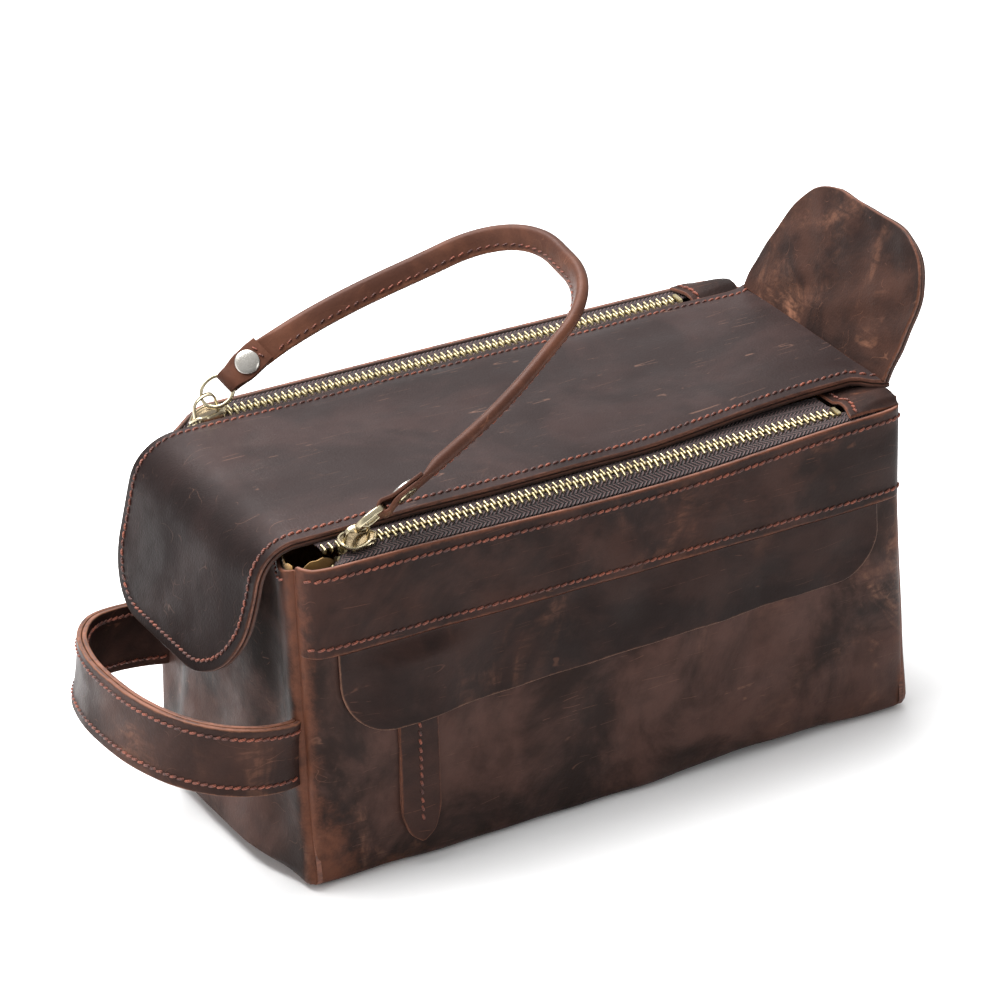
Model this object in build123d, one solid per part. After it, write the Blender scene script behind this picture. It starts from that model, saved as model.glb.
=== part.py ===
from build123d import *
import math
import os

# Leather shaving kit bag. Millimetres, +Z up.
# The origin is the middle of the flat base. The bag's long side runs along X, its front faces -Y.
# The loop handle and the hanging tongue are at the -X end, the standing flap is at the +X end.

# ---------------------------------------------------------------- driving dimensions
# Body
LENGTH = 250.0                 # between the two end panels' outer faces
HALF_WIDTH = 62.0              # middle of the bag, outer face of the wrap
SEAM_HALF_WIDTH = 52.0         # at the corner seams
CORNER_RUN = 20.0              # length over which the sides curve in to the corner seams
FOLD_RADIUS = 8.0              # long bottom folds
LEATHER = 1.8
END_PANEL_TOP = 124.0
WRAP_TOP = 119.0               # hidden under the bands
GAP = 0.1                      # between pieces sewn to each other

# Bands along the mouth
BAND_BOTTOM = 91.0
BAND_TOP = 125.5

# Lining
LINING = 0.6
LINING_TOP = 121.0
LINING_INSET = 2.1
LINING_FRONT = -52.0           # stands back from the wrap to leave room for the front pocket

# Lid, with its hanging tongue at the left and its sewn end at the right
LID_HALF_WIDTH = 47.5
LID_UNDERSIDE = 130.5
LID_MIDDLE = 132.2
LID_TOP = 134.0
LID_BEND_X = 98.35             # where the lid bends when it is opened
TONGUE_START_X = -117.0
TONGUE_RADIUS = 20.0           # outer face of the bend
TONGUE_BOTTOM = 68.0
TONGUE_CORNER = 22.0
PART_GAP = 0.15                # half of the gap between a moving lid piece and its neighbour

# Main zips
ZIP_Y = 53.6
ZIP_Z = 127.9
ZIP_TILT = 20.0                # the zips slope down outwards
TAPE = 0.5
TOOTH_PITCH = 2.75
TOOTH_INNER = 0.6
TOOTH_OUTER = 3.0
TOOTH_LENGTH = 1.3
TOOTH_HEIGHT = 2.6
ZIP_LEFT_BODY = -91.4          # clear of the parked sliders
ZIP_LEFT_LID = -109.0
ZIP_RIGHT = 95.5
TAPE_BAND_Y = 61.2             # middle of the tape's leg behind the band
TAPE_LEG_BOTTOM = 119.4
TAPE_LID_Y = 42.0
SLIDER_X = -98.5
SLIDER_LENGTH = 12.0
EYE_HEIGHT = 4.9               # slider's eye above the middle of the tape
EYE_X = SLIDER_X + 0.5
SLIDER_HALF_WIDTH = 4.2
SLIDER_PLATE = 1.0
SLIDER_POST = 1.8              # length of the post between the plates
BRIDGE_LENGTH = 9.0
BRIDGE_HOLE = 6.2
BRIDGE_WIDTH = 2.4
PATCH_THICK = 1.5
PATCH_OUTWARDS = 7.9           # from the middle of the teeth
PATCH_INWARDS = 5.8
PATCH_BITE_RADIUS = 10.0

# Strap between the two sliders
STRAP_LEAN = 25.7
STRAP_WIDTH = 9.5
STRAP_THICK = 4.5
STRAP_ROLL = -45.0             # both runs lean in towards the middle of the bag
RING_RADIUS = 5.6
RING_SECTION = 1.6
RING_WIDTH = 2.0
STRAP_END_WIDTH = 8.0
RIVET_RUN = 20.5
RIVET_CAP = 4.6
RIVET_CAP_THICK = 1.2
RIVET_POST = 1.5
STRAP_PLY = 1.3                # each of the two plies pressed together at a folded end
FOLD_EYE_LENGTH = 10.2         # the folded end's eye, round the ring's far bar
FOLD_EYE_HEIGHT = 3.0

# Flap at the right end
FLAP_LEAN = 23.6
FLAP_HALF_WIDTH = 49.5
FLAP_LENGTH = 52.0
FLAP_CORNER = 19.0
FLAP_AXIS = (125.3, 134.2)     # X, Z

# Front pocket
POCKET_FLAP_X = (-110.0, 119.0)
POCKET_FLAP_BOTTOM = 57.0
POCKET_FLAP_CORNER = 13.0
POCKET_ZIP_Z = 76.0
POCKET_ZIP_Y = -59.9
POCKET_WINDOW_X = (-98.0, 101.0)
POCKET_WINDOW_HALF = 4.5
POCKET_ZIP_X = (-92.0, 98.0)
POCKET_SLIDER_X = -82.0
POCKET_BAR = 3.9               # underside of the slider's bar, above the middle of the tape
POCKET_SLIDER_HALF = (5.0, 3.2)
POCKET_PLATE = (1.25, 2.0)     # underside and top of the upper plate
POCKET_TOOTH_OUTER = 2.4
POCKET_TOOTH_HEIGHT = 2.0
POCKET_TAPE_EDGE = 9.5
FLAP_STAND_OFF = 3.3           # the pocket flap stands out this far over the zip pull
POUCH_X = (-104.0, 105.0)
POUCH_Y = (-59.5, -52.4)
POUCH_Z = (20.0, 88.0)
POUCH_WALL = 0.6
TAB_WIDTH = 16.0
TAB_TIP_Z = 10.0
TAB_LAYER = 1.1
TAB_TIP = 22.0                 # length of the pointed lower end
NECK_WIDTH = 2.6
NECK_PLY = 0.6

# Side handle at the left end
HANDLE_AXIS = (-126.2, 53.5)   # X, Z
HANDLE_HALF_WIDTH = 54.0
HANDLE_REACH = -174.0
HANDLE_RADIUS = 40.0
HANDLE_LAYER = 1.9
HANDLE_HEIGHT = 25.0
HANDLE_RISE = 8.0              # degrees that the loop is tipped up at rest
HANDLE_UP = 44.0               # room for the loop's upper edge to swing towards the end panel
HANDLE_DOWN = 14.0


# ---------------------------------------------------------------- helpers
def slab(x0, x1, y0, y1, z0, z1):
    """A box between two corners."""
    middle = ((x0 + x1) / 2, (y0 + y1) / 2, (z0 + z1) / 2)
    return Pos(*middle) * Box(x1 - x0, y1 - y0, z1 - z0)


def polygon(plane, points):
    """A flat face on a plane, with straight sides."""
    return plane * make_face(Polyline(*points, close=True).edges())


def strip_points(line, thickness):
    """The outline of a thin bent strip with its middle along a line of points."""
    count = len(line)
    sides = ([], [])
    for i, (px, py) in enumerate(line):
        before = line[max(i - 1, 0)]
        after = line[min(i + 1, count - 1)]
        into = math.atan2(py - before[1], px - before[0]) if i else None
        out = math.atan2(after[1] - py, after[0] - px) if i < count - 1 else None
        into = out if into is None else into
        out = into if out is None else out
        half_turn = (out - into) / 2
        normal = (into + out) / 2 + math.pi / 2
        reach = thickness / 2 / math.cos(half_turn)
        for side, sign in zip(sides, (1, -1)):
            side.append((px + sign * reach * math.cos(normal), py + sign * reach * math.sin(normal)))
    return sides[0] + sides[1][::-1]


def along_x(section, x0, x1):
    """Sweep a YZ section of points straight along X."""
    face = polygon(Plane.YZ.offset(x0), section)
    return extrude(face, amount=x1 - x0)


def rear(shape):
    """The mirror image of a front piece."""
    return mirror(shape, about=Plane.XZ)


def write(name, shape):
    shape.label = name
    export_step(shape, f"parts/{name}.step")


def several(solids):
    """Separate solids kept in one piece."""
    return Compound(children=list(solids))


# ---------------------------------------------------------------- body
def plan(inset):
    """The bag seen from above: flat long sides that curve in to the corner seams."""
    half = LENGTH / 2
    run = CORNER_RUN
    step = HALF_WIDTH - SEAM_HALF_WIDTH
    radius = (run ** 2 + step ** 2) / (2 * step)
    flat = half - run
    lines = []
    for side in (-1, 1):
        y_flat = side * HALF_WIDTH
        y_seam = side * SEAM_HALF_WIDTH
        lines.append(Line((-flat, y_flat), (flat, y_flat)))
        for end in (-1, 1):
            middle_angle = math.asin(run / radius) / 2
            mid = (end * (flat + radius * math.sin(middle_angle)),
                   side * (HALF_WIDTH - radius * (1 - math.cos(middle_angle))))
            lines.append(ThreePointArc((end * flat, y_flat), mid, (end * half, y_seam)))
    for end in (-1, 1):
        lines.append(Line((end * half, -SEAM_HALF_WIDTH), (end * half, SEAM_HALF_WIDTH)))
    face = make_face(Curve() + lines)
    return offset(face, amount=-inset) if inset else face


def tub(inset, bottom, top, fold):
    """A solid block of the bag's plan, with its long bottom folds rounded."""
    block = Pos(0, 0, bottom) * extrude(plan(inset), amount=top - bottom)
    half = HALF_WIDTH - inset
    across = slab(-LENGTH, LENGTH, -half, half, bottom, top)
    folds = [e for e in across.edges().filter_by(Axis.X) if (e @ 0.5).Z < bottom + 1]
    return block & fillet(folds, fold)


def body_pieces():
    outer = tub(0, 0, BAND_TOP, FOLD_RADIUS)
    inner = tub(LEATHER, LEATHER, BAND_TOP + 5, FOLD_RADIUS - LEATHER)
    half = LENGTH / 2
    panel_inner = half - LEATHER
    long_part = slab(-panel_inner + GAP, panel_inner - GAP, -80, 80, -1, WRAP_TOP)
    window = slab(*POCKET_WINDOW_X, -HALF_WIDTH - 1, -HALF_WIDTH + LEATHER + 1,
                  POCKET_ZIP_Z - POCKET_WINDOW_HALF, POCKET_ZIP_Z + POCKET_WINDOW_HALF)
    wrap = (outer - inner) & long_part
    write("body_wrap", wrap - window)
    write("left_end_panel", outer & slab(-half - 1, -panel_inner, -80, 80, -1, END_PANEL_TOP))
    write("right_end_panel", outer & slab(panel_inner, half + 1, -80, 80, -1, END_PANEL_TOP))


def band_pieces():
    around = offset(plan(0), amount=LEATHER + GAP, kind=Kind.INTERSECTION) - offset(plan(0), amount=GAP)
    ring = Pos(0, 0, BAND_BOTTOM) * extrude(around, amount=BAND_TOP - BAND_BOTTOM)
    end = LENGTH / 2 - 0.2
    front = ring & slab(-end, end, -90, 0, 0, 200)
    write("front_band", front)
    write("back_band", rear(front))


def lining_piece():
    depth = 4 * HALF_WIDTH
    behind_pocket = Pos(0, LINING_FRONT + depth / 2) * make_face(Rectangle(2 * LENGTH, depth).edges())
    outline = plan(LINING_INSET) & behind_pocket
    outside = Pos(0, 0, LINING_INSET) * extrude(outline, amount=LINING_TOP - LINING_INSET)
    inside_face = offset(outline, amount=-LINING)
    inside = Pos(0, 0, LINING_INSET + LINING) * extrude(inside_face, amount=LINING_TOP)
    low = outside.faces().sort_by(Axis.Z)[0].edges()
    outside = fillet([e for e in low if (e @ 0.5).Y > HALF_WIDTH / 2], FOLD_RADIUS)
    low = inside.faces().sort_by(Axis.Z)[0].edges()
    inside = fillet([e for e in low if (e @ 0.5).Y > HALF_WIDTH / 2], FOLD_RADIUS - LINING)
    write("lining", outside - inside)


# ---------------------------------------------------------------- lid, tongue and end flap
def lid_pieces():
    layers = (("inner", LID_UNDERSIDE, LID_MIDDLE - GAP / 2), ("outer", LID_MIDDLE + GAP / 2, LID_TOP))
    left = TONGUE_START_X + PART_GAP
    right = LID_BEND_X - PART_GAP
    for name, low, high in layers:
        write(f"lid_{name}", slab(left, right, -LID_HALF_WIDTH, LID_HALF_WIDTH, low, high))
        end = slab(LID_BEND_X + PART_GAP, LENGTH / 2, -LID_HALF_WIDTH, LID_HALF_WIDTH, low, high)
        write(f"lid_end_{name}", end)


def tongue_pieces():
    """The lid's left end bends down and hangs free of the end panel."""
    centre = (TONGUE_START_X - PART_GAP, LID_TOP - TONGUE_RADIUS)
    outline = Plane.YZ * Rectangle(2 * LID_HALF_WIDTH, 200)
    outline = Pos(0, 0, TONGUE_BOTTOM + 100) * outline
    block = Pos(-200, 0, 0) * extrude(outline, amount=200)
    low = [e for e in block.edges().filter_by(Axis.X) if (e @ 0.5).Z < TONGUE_BOTTOM + 1]
    block = fillet(low, TONGUE_CORNER)
    layers = (("inner", LID_TOP - LID_UNDERSIDE, LID_TOP - LID_MIDDLE + GAP / 2),
              ("outer", LID_TOP - LID_MIDDLE - GAP / 2, 0))
    for name, deep, shallow in layers:
        big = TONGUE_RADIUS - shallow
        small = TONGUE_RADIUS - deep
        section = Plane.XZ * (Pos(*centre) * (Circle(big) - Circle(small)))
        bend = extrude(section, amount=LID_HALF_WIDTH, both=True)
        bend &= slab(centre[0] - 50, centre[0], -90, 90, centre[1], LID_TOP + 1)
        hang = slab(centre[0] - big, centre[0] - small, -LID_HALF_WIDTH, LID_HALF_WIDTH, 0, centre[1])
        write(f"tongue_{name}", (bend + hang) & block)


def end_flap_pieces():
    """Two layers standing on the lid's right edge, leaning outwards, with rounded top corners."""
    base_gap = 0.3
    layer = (LID_TOP - LID_UNDERSIDE) / 2
    face = Pos(0, base_gap + FLAP_LENGTH / 2) * Rectangle(2 * FLAP_HALF_WIDTH, FLAP_LENGTH)
    top = [v for v in face.vertices() if v.Y > FLAP_LENGTH / 2]
    face = fillet(top, FLAP_CORNER)
    lean = math.radians(FLAP_LEAN)
    # local x runs along -Y, local y up the flap, local z towards the left face
    plane = Plane(origin=(FLAP_AXIS[0], 0, FLAP_AXIS[1]), x_dir=(0, -1, 0),
                  z_dir=(-math.cos(lean), 0, math.sin(lean)))
    for name, start in (("outer", 0.0), ("inner", layer)):
        piece = plane.offset(start + GAP / 2) * face
        write(f"end_flap_{name}", extrude(piece, amount=layer - GAP))


# ---------------------------------------------------------------- main zips
def zip_place(shape):
    """Put a front zip piece, drawn with the zip flat and outwards at -Y, where it belongs."""
    return Location((0, -ZIP_Y, ZIP_Z), (ZIP_TILT, 0, 0)) * shape


def zip_point(outwards):
    """The middle of the front tape, at a distance outwards from the middle of the teeth."""
    tilt = math.radians(ZIP_TILT)
    return (-ZIP_Y - outwards * math.cos(tilt), ZIP_Z - outwards * math.sin(tilt))


def tooth_row(x0, x1, side, pitch=TOOTH_PITCH, reach=TOOTH_OUTER, height=TOOTH_HEIGHT):
    """Separate teeth on one side of a zip lying flat; side -1 is outwards."""
    shift = 0 if side < 0 else pitch / 2
    count = int((x1 - x0 - shift - TOOTH_LENGTH) / pitch) + 1
    low, high = sorted((side * TOOTH_INNER, side * reach))
    teeth = []
    for i in range(count):
        x = x1 - shift - i * pitch
        teeth.append(slab(x - TOOTH_LENGTH, x, low, high, -height / 2, height / 2))
    return teeth


def main_zip_pieces():
    tilt = math.radians(ZIP_TILT)
    body_end = (TAPE_BAND_Y - ZIP_Y) / math.cos(tilt)
    body_line = [zip_point(TOOTH_OUTER), zip_point(body_end), (-TAPE_BAND_Y, TAPE_LEG_BOTTOM)]
    lid_z = LID_UNDERSIDE - TAPE / 2 - GAP
    lid_bend = (ZIP_Z - lid_z) / math.sin(tilt)
    lid_line = [zip_point(-TOOTH_OUTER), zip_point(lid_bend), (-TAPE_LID_Y, lid_z)]
    body_tape = along_x(strip_points(body_line, TAPE), ZIP_LEFT_BODY, LID_BEND_X + 12)
    lid_tape = along_x(strip_points(lid_line, TAPE), ZIP_LEFT_LID, LID_BEND_X - PART_GAP)
    body_teeth = several(zip_place(t) for t in tooth_row(ZIP_LEFT_BODY, ZIP_RIGHT, -1))
    lid_teeth = several(zip_place(t) for t in tooth_row(ZIP_LEFT_LID, ZIP_RIGHT, 1))
    stop = slab(ZIP_RIGHT + 0.6, ZIP_RIGHT + 2.4, -TOOTH_OUTER, -TOOTH_INNER, -1.4, 1.4)
    stop = zip_place(stop)
    for name, piece in (("tape", body_tape), ("teeth", body_teeth)):
        write(f"front_zip_{name}_body", piece)
        write(f"rear_zip_{name}_body", rear(piece))
    for name, piece in (("tape", lid_tape), ("teeth", lid_teeth)):
        write(f"front_zip_{name}_lid", piece)
        write(f"rear_zip_{name}_lid", rear(piece))
    write("zip_end_stops", several((stop, rear(stop))))


def end_patches():
    """Leather patches over the zips' right ends, each with a hollowed left edge."""
    x0 = LID_BEND_X + PART_GAP
    x1 = LENGTH / 2 - 0.2
    sheet = Rectangle(x1 - x0, PATCH_INWARDS + PATCH_OUTWARDS)
    sheet = Pos((x0 + x1) / 2, (PATCH_INWARDS - PATCH_OUTWARDS) / 2) * sheet
    bite = Pos(x0 + 3 - PATCH_BITE_RADIUS, 0) * Circle(PATCH_BITE_RADIUS)
    patch = Pos(0, 0, TAPE / 2 + GAP) * extrude(sheet - bite, amount=PATCH_THICK)
    patch = zip_place(patch)
    corner = tub(0, 0, BAND_TOP + 10, FOLD_RADIUS)
    patch &= corner
    write("end_patch_front", patch)
    write("end_patch_rear", rear(patch))


def slider(width, length, height, plate, eye):
    """A zip slider lying flat, its wide nose to the left: two plates, rails, a post and a bridge."""
    gap_half = height / 2 + 0.3
    half = length / 2
    nose = Pos(-half + width, 0) * Circle(width)
    tail = Pos(half / 2 + 0.5, 0) * Rectangle(half + 1, 1.7 * width)
    outline = (nose + tail) & (Rectangle(length, 2 * width))
    rail_box = slab(-half * 0.6, half * 0.95, width * 0.86, width, 0.7, gap_half + 0.1)
    rails = rail_box + mirror(rail_box, about=Plane.XZ)
    top = Pos(0, 0, gap_half) * extrude(outline, amount=plate)
    top += rails & extrude(outline, amount=10)
    post = slab(-half + 0.8, -half + 0.8 + SLIDER_POST, -0.3, 0.3, -gap_half, gap_half)
    body = top + mirror(top, about=Plane.XY) + post
    roof = gap_half + plate
    arch = Plane.XZ * (Pos(0.5, 0) * Rectangle(BRIDGE_LENGTH, 2 * (eye + 3.2)))
    hole = Plane.XZ * (Pos(0.5, 0) * Rectangle(BRIDGE_HOLE, 2 * (eye + 2.0)))
    bridge = extrude(arch - hole, amount=BRIDGE_WIDTH / 2, both=True)
    bridge &= slab(-half, half, -2, 2, roof - 0.1, eye + 4)
    tops = [e for e in bridge.edges().filter_by(Axis.Y) if (e @ 0.5).Z > eye + 3]
    bridge = fillet(tops, 1.1)
    return body + bridge


def slider_pieces():
    body = slider(SLIDER_HALF_WIDTH, SLIDER_LENGTH, TOOTH_HEIGHT, SLIDER_PLATE, EYE_HEIGHT)
    placed = zip_place(Pos(SLIDER_X, 0, 0) * body)
    write("zip_slider_front", placed)
    write("zip_slider_rear", rear(placed))


# ---------------------------------------------------------------- strap
def eye_centre():
    """The middle of the front slider's eye."""
    tilt = math.radians(ZIP_TILT)
    return (EYE_X, -ZIP_Y - EYE_HEIGHT * math.sin(tilt), ZIP_Z + EYE_HEIGHT * math.cos(tilt))


def strap_plane():
    """Origin midway between the eyes, local x up along the leaning arch, local y towards the rear."""
    lean = math.radians(STRAP_LEAN)
    x, _, z = eye_centre()
    return Plane(origin=(x, 0, z), x_dir=(math.cos(lean), 0, math.sin(lean)),
                 z_dir=(-math.sin(lean), 0, math.cos(lean)))


def strap_pieces():
    """A rolled strap arching from ring to ring; each end folds round its ring and is riveted."""
    plane = strap_plane()
    eye_y = abs(eye_centre()[1])
    start = 2 * RING_RADIUS + 15.6
    points = [(start, -eye_y), (66, -51), (120, -30), (120, 30), (66, 51), (start, eye_y)]
    path = plane * FilletPolyline(*points, radius=[150, 36, 36, 150])
    first = Plane(origin=path @ 0, x_dir=plane.z_dir, z_dir=path % 0)
    section = first * (Rot(0, 0, STRAP_ROLL) * RectangleRounded(STRAP_THICK, STRAP_WIDTH, 2.0))
    leather = sweep(section, path=path)

    # the fold, seen from the side: a long eye round the ring's far bar, then two plies pressed flat
    eye_end = 2 * RING_RADIUS - 2.9
    fold_end = eye_end - STRAP_PLY
    fold_high = FOLD_EYE_HEIGHT + 2 * STRAP_PLY
    fold_length = start + 4 - fold_end
    fold = Pos(fold_end + fold_length / 2, 0) * SlotOverall(fold_length, fold_high)
    fold -= Pos(eye_end + FOLD_EYE_LENGTH / 2, 0) * SlotOverall(FOLD_EYE_LENGTH, FOLD_EYE_HEIGHT)
    ring_face = Pos(RING_RADIUS, 0) * (Circle(RING_RADIUS + RING_SECTION / 2)
                                       - Circle(RING_RADIUS - RING_SECTION / 2))
    cap_middle = fold_high / 2 + GAP / 2 + RIVET_CAP_THICK / 2
    for name, y in (("front", -eye_y), ("rear", eye_y)):
        origin = plane.from_local_coords((0, y, 0))
        sideways = Plane(origin=origin, x_dir=plane.x_dir, z_dir=(0, -1, 0))
        flat = Plane(origin=origin, x_dir=plane.x_dir, z_dir=plane.z_dir)
        leather += extrude(sideways * fold, amount=STRAP_END_WIDTH / 2, both=True)
        leather -= flat * (Pos(RIVET_RUN, 0, 0) * Cylinder(RIVET_POST + 0.1, 2 * cap_middle))
        rivet = Pos(RIVET_RUN, 0, 0) * Cylinder(RIVET_POST, 2 * cap_middle)
        for side in (-1, 1):
            rivet += Pos(RIVET_RUN, 0, side * cap_middle) * Cylinder(RIVET_CAP, RIVET_CAP_THICK)
        write(f"strap_rivet_{name}", flat * rivet)
        ring = extrude(flat * ring_face, amount=RING_WIDTH / 2, both=True)
        write(f"strap_ring_{name}", fillet(ring.edges(), 0.5))
    write("strap_leather", leather)


# ---------------------------------------------------------------- front pocket
def pocket_flap():
    """Hangs from the band's lower edge, stands out over the zip pull, rounded at its lower corners."""
    face_y = -HALF_WIDTH - 0.3
    out_y = face_y - FLAP_STAND_OFF
    top = BAND_BOTTOM - 0.3
    bend = POCKET_ZIP_Z + 5.5
    inner = [(face_y, top), (out_y, bend), (out_y, POCKET_FLAP_BOTTOM)]
    outer = [(y - LEATHER, z) for y, z in inner]
    sheet = along_x(inner + outer[::-1], *POCKET_FLAP_X)
    x0, x1 = POCKET_FLAP_X
    outline = Pos((x0 + x1) / 2, (top + POCKET_FLAP_BOTTOM) / 2)
    outline = outline * Rectangle(x1 - x0, top - POCKET_FLAP_BOTTOM)
    low = [v for v in outline.vertices() if v.Y < POCKET_FLAP_BOTTOM + 1]
    outline = Plane.XZ * fillet(low, POCKET_FLAP_CORNER)
    block = extrude(outline, amount=100)
    write("pocket_flap_leather", sheet & block)


def pocket_place(shape):
    """Stand a zip that was drawn flat in the front wall, its top outwards."""
    return Location((0, POCKET_ZIP_Y, POCKET_ZIP_Z), (90, 0, 0)) * shape


def pocket_zip():
    for name, side in (("upper", 1), ("lower", -1)):
        row = tooth_row(*POCKET_ZIP_X, side, reach=POCKET_TOOTH_OUTER, height=POCKET_TOOTH_HEIGHT)
        write(f"pocket_zip_teeth_{name}", several(pocket_place(t) for t in row))
        low, high = sorted((side * POCKET_TOOTH_OUTER, side * POCKET_TAPE_EDGE))
        tape = slab(POCKET_WINDOW_X[0] - 4, POCKET_WINDOW_X[1] + 3, low, high, -0.2, 0.25)
        write(f"pocket_zip_tape_{name}", pocket_place(tape))


def pocket_slider():
    """A smaller slider; the bar of its bridge runs along the zip, with room behind for the tab's neck."""
    half, side = POCKET_SLIDER_HALF
    low, high = POCKET_PLATE
    plate = slab(-half, half, -side, side, low, high)
    body = plate + mirror(plate, about=Plane.XY)
    body += slab(-half + 0.6, -half + 2.2, -0.3, 0.3, -low - 0.05, low + 0.05)
    bridge = slab(-3.4, 3.4, -1.0, 1.0, high - 0.1, POCKET_BAR + 0.6)
    bridge -= slab(-2.7, 2.7, -1.1, 1.1, 0, POCKET_BAR)
    write("pocket_zip_slider", pocket_place(Pos(POCKET_SLIDER_X, 0, 0) * (body + bridge)))


def pocket_pouch():
    x0, x1 = POUCH_X
    y0, y1 = POUCH_Y
    z0, z1 = POUCH_Z
    wall = POUCH_WALL
    bag = slab(x0, x1, y0, y1, z0, z1)
    bag -= slab(x0 + wall, x1 - wall, y0 + wall, y1 - wall, z0 + wall, z1 - wall)
    bag -= slab(*POCKET_WINDOW_X, y0 - 1, y0 + wall + 0.1,
                POCKET_ZIP_Z - POCKET_WINDOW_HALF - 0.5, POCKET_ZIP_Z + POCKET_WINDOW_HALF + 0.5)
    write("pocket_pouch", bag)


def pocket_pull():
    """Two layers sewn face to face; the outer one's neck folds over the slider's bar, to the inner one."""
    middle = POCKET_ZIP_Y - POCKET_BAR + 0.35
    plane = Plane(origin=(POCKET_SLIDER_X, middle, POCKET_ZIP_Z), x_dir=(0, 0, -1), z_dir=(0, -1, 0))
    # local x points down the tab, local z points outwards
    half = TAB_WIDTH / 2
    top = 4.0
    tip = POCKET_ZIP_Z - TAB_TIP_Z
    shoulder = tip - TAB_TIP
    narrow = 1.6
    left = ThreePointArc((shoulder, -half), (shoulder + 13, -half + 2.3), (tip, 0))
    right = ThreePointArc((tip, 0), (shoulder + 13, half - 2.3), (shoulder, half))
    sides = Polyline((shoulder, half), (top + 5, half - narrow), (top, half - 5), (top, 5 - half),
                     (top + 5, narrow - half), (shoulder, -half))
    face = make_face(Curve() + [left, right] + sides.edges())
    outer = extrude(plane.offset(GAP / 2) * face, amount=TAB_LAYER)
    inner = extrude(plane.offset(-GAP / 2 - TAB_LAYER) * face, amount=TAB_LAYER)
    # the neck, seen from the side: local x outwards from the middle of the tab, local y upwards
    inside = -1.0
    outside = TAB_LAYER + 0.25
    over = 1.95
    line = [(TAB_LAYER / 2, -top - 1), (outside, -top + 1.5), (outside, over), (inside, over),
            (inside, -top + 1)]
    side = Plane(origin=(POCKET_SLIDER_X, middle, POCKET_ZIP_Z), x_dir=(0, -1, 0), z_dir=(-1, 0, 0))
    neck = extrude(polygon(side, strip_points(line, NECK_PLY)), amount=NECK_WIDTH / 2, both=True)
    outer += neck
    write("pull_tab_outer", outer - inner)
    write("pull_tab_inner", inner)


# ---------------------------------------------------------------- side handle
def loop_face(grow):
    """The handle seen from above: a rounded loop, grown outwards, open towards the end panel."""
    half = HANDLE_HALF_WIDTH + grow
    x0 = HANDLE_REACH - grow
    x1 = HANDLE_AXIS[0] + 60
    face = Pos((x0 + x1) / 2, 0) * Rectangle(x1 - x0, 2 * half)
    far = [v for v in face.vertices() if v.X < x0 + 1]
    return fillet(far, HANDLE_RADIUS + grow)


def handle_pieces():
    ax, az = HANDLE_AXIS
    reach = 60.0
    up = math.radians(HANDLE_UP)
    down = math.radians(HANDLE_DOWN)
    room = [(ax, az), (ax - reach * math.sin(up), az + reach * math.cos(up)), (ax + 80, az + reach),
            (ax + 80, az - reach), (ax - reach * math.sin(down), az - reach * math.cos(down))]
    cut = extrude(polygon(Plane.XZ, room), amount=90, both=True)
    axis = Axis((ax, 0, az), (0, 1, 0))
    for name, inside, outside in (("inner", -HANDLE_LAYER, -GAP / 2), ("outer", GAP / 2, HANDLE_LAYER)):
        flat = loop_face(outside) - loop_face(inside)
        loop = Pos(0, 0, az - HANDLE_HEIGHT / 2) * extrude(flat, amount=HANDLE_HEIGHT)
        loop -= cut
        write(f"handle_{name}", loop.rotate(axis, HANDLE_RISE))


os.makedirs("parts", exist_ok=True)
body_pieces()
band_pieces()
lining_piece()
lid_pieces()
tongue_pieces()
end_flap_pieces()
main_zip_pieces()
end_patches()
slider_pieces()
strap_pieces()
pocket_flap()
pocket_zip()
pocket_slider()
pocket_pouch()
pocket_pull()
handle_pieces()
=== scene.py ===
import math

import bmesh
import bpy
import numpy as np
from mathutils import Matrix


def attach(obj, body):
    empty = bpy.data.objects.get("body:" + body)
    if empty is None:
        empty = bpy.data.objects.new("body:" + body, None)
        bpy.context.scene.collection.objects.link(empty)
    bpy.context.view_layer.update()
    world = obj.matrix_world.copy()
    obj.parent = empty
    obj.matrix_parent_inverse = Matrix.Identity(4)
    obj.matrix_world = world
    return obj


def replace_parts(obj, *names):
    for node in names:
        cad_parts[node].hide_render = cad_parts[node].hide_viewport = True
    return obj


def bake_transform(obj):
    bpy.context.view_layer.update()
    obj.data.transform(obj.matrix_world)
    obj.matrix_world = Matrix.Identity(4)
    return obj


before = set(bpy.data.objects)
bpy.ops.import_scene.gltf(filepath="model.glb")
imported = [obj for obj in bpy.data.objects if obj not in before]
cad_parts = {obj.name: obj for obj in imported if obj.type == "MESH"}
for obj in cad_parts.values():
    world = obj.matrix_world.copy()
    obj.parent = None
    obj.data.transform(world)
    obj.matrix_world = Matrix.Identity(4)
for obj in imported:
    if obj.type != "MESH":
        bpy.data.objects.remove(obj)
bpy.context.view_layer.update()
MM = 0.001

# ---------------------------------------------------------------- dimensions
# Sizes are in millimetres, in the CAD model's frame, and become metres when a mesh is made.
SEAM_X = 122.4                  # the seams of the end panels
SEAM_LOW = 1.2                  # the seams run this high above the floor
SEAM_GAP = 0.03                 # normals are taken this far inside a seam
SEAM_LIP = 1.0                  # the end panels go this far past their seams, behind the rolled sides
FOLD = 4.2                      # radius of the body's lower edges
LEATHER = 1.8
CLOTH = 0.5
WRAP_TOP = 119.0
HALF_DEPTH = 61.2               # the long walls, from the middle plane
FLOOR_HALF = 62.0               # half of the floor's flat width, with the lower edges
BAND_LOW, BAND_HIGH = 91.0, 125.5
BAND_LIFT = 1.95                # the bands' outer faces, from the walls'
PANEL_TOP = 124.0
LID_HALF = 47.5
LID_Z = 134.0
LID_LAYER = 1.7
LID_RIGHT = 125.0
LID_BEND = 98.35                # where the lid bends up
TONGUE_X = -115.5               # where the tongue bends down
TONGUE_R = 22.0
TONGUE_LOW = 76.5
ZIP_Y, ZIP_Z, ZIP_TILT = 53.6, 127.9, math.radians(20)
PITCH = 2.75                    # of the teeth
ZIP_RIGHT = 95.5
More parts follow.
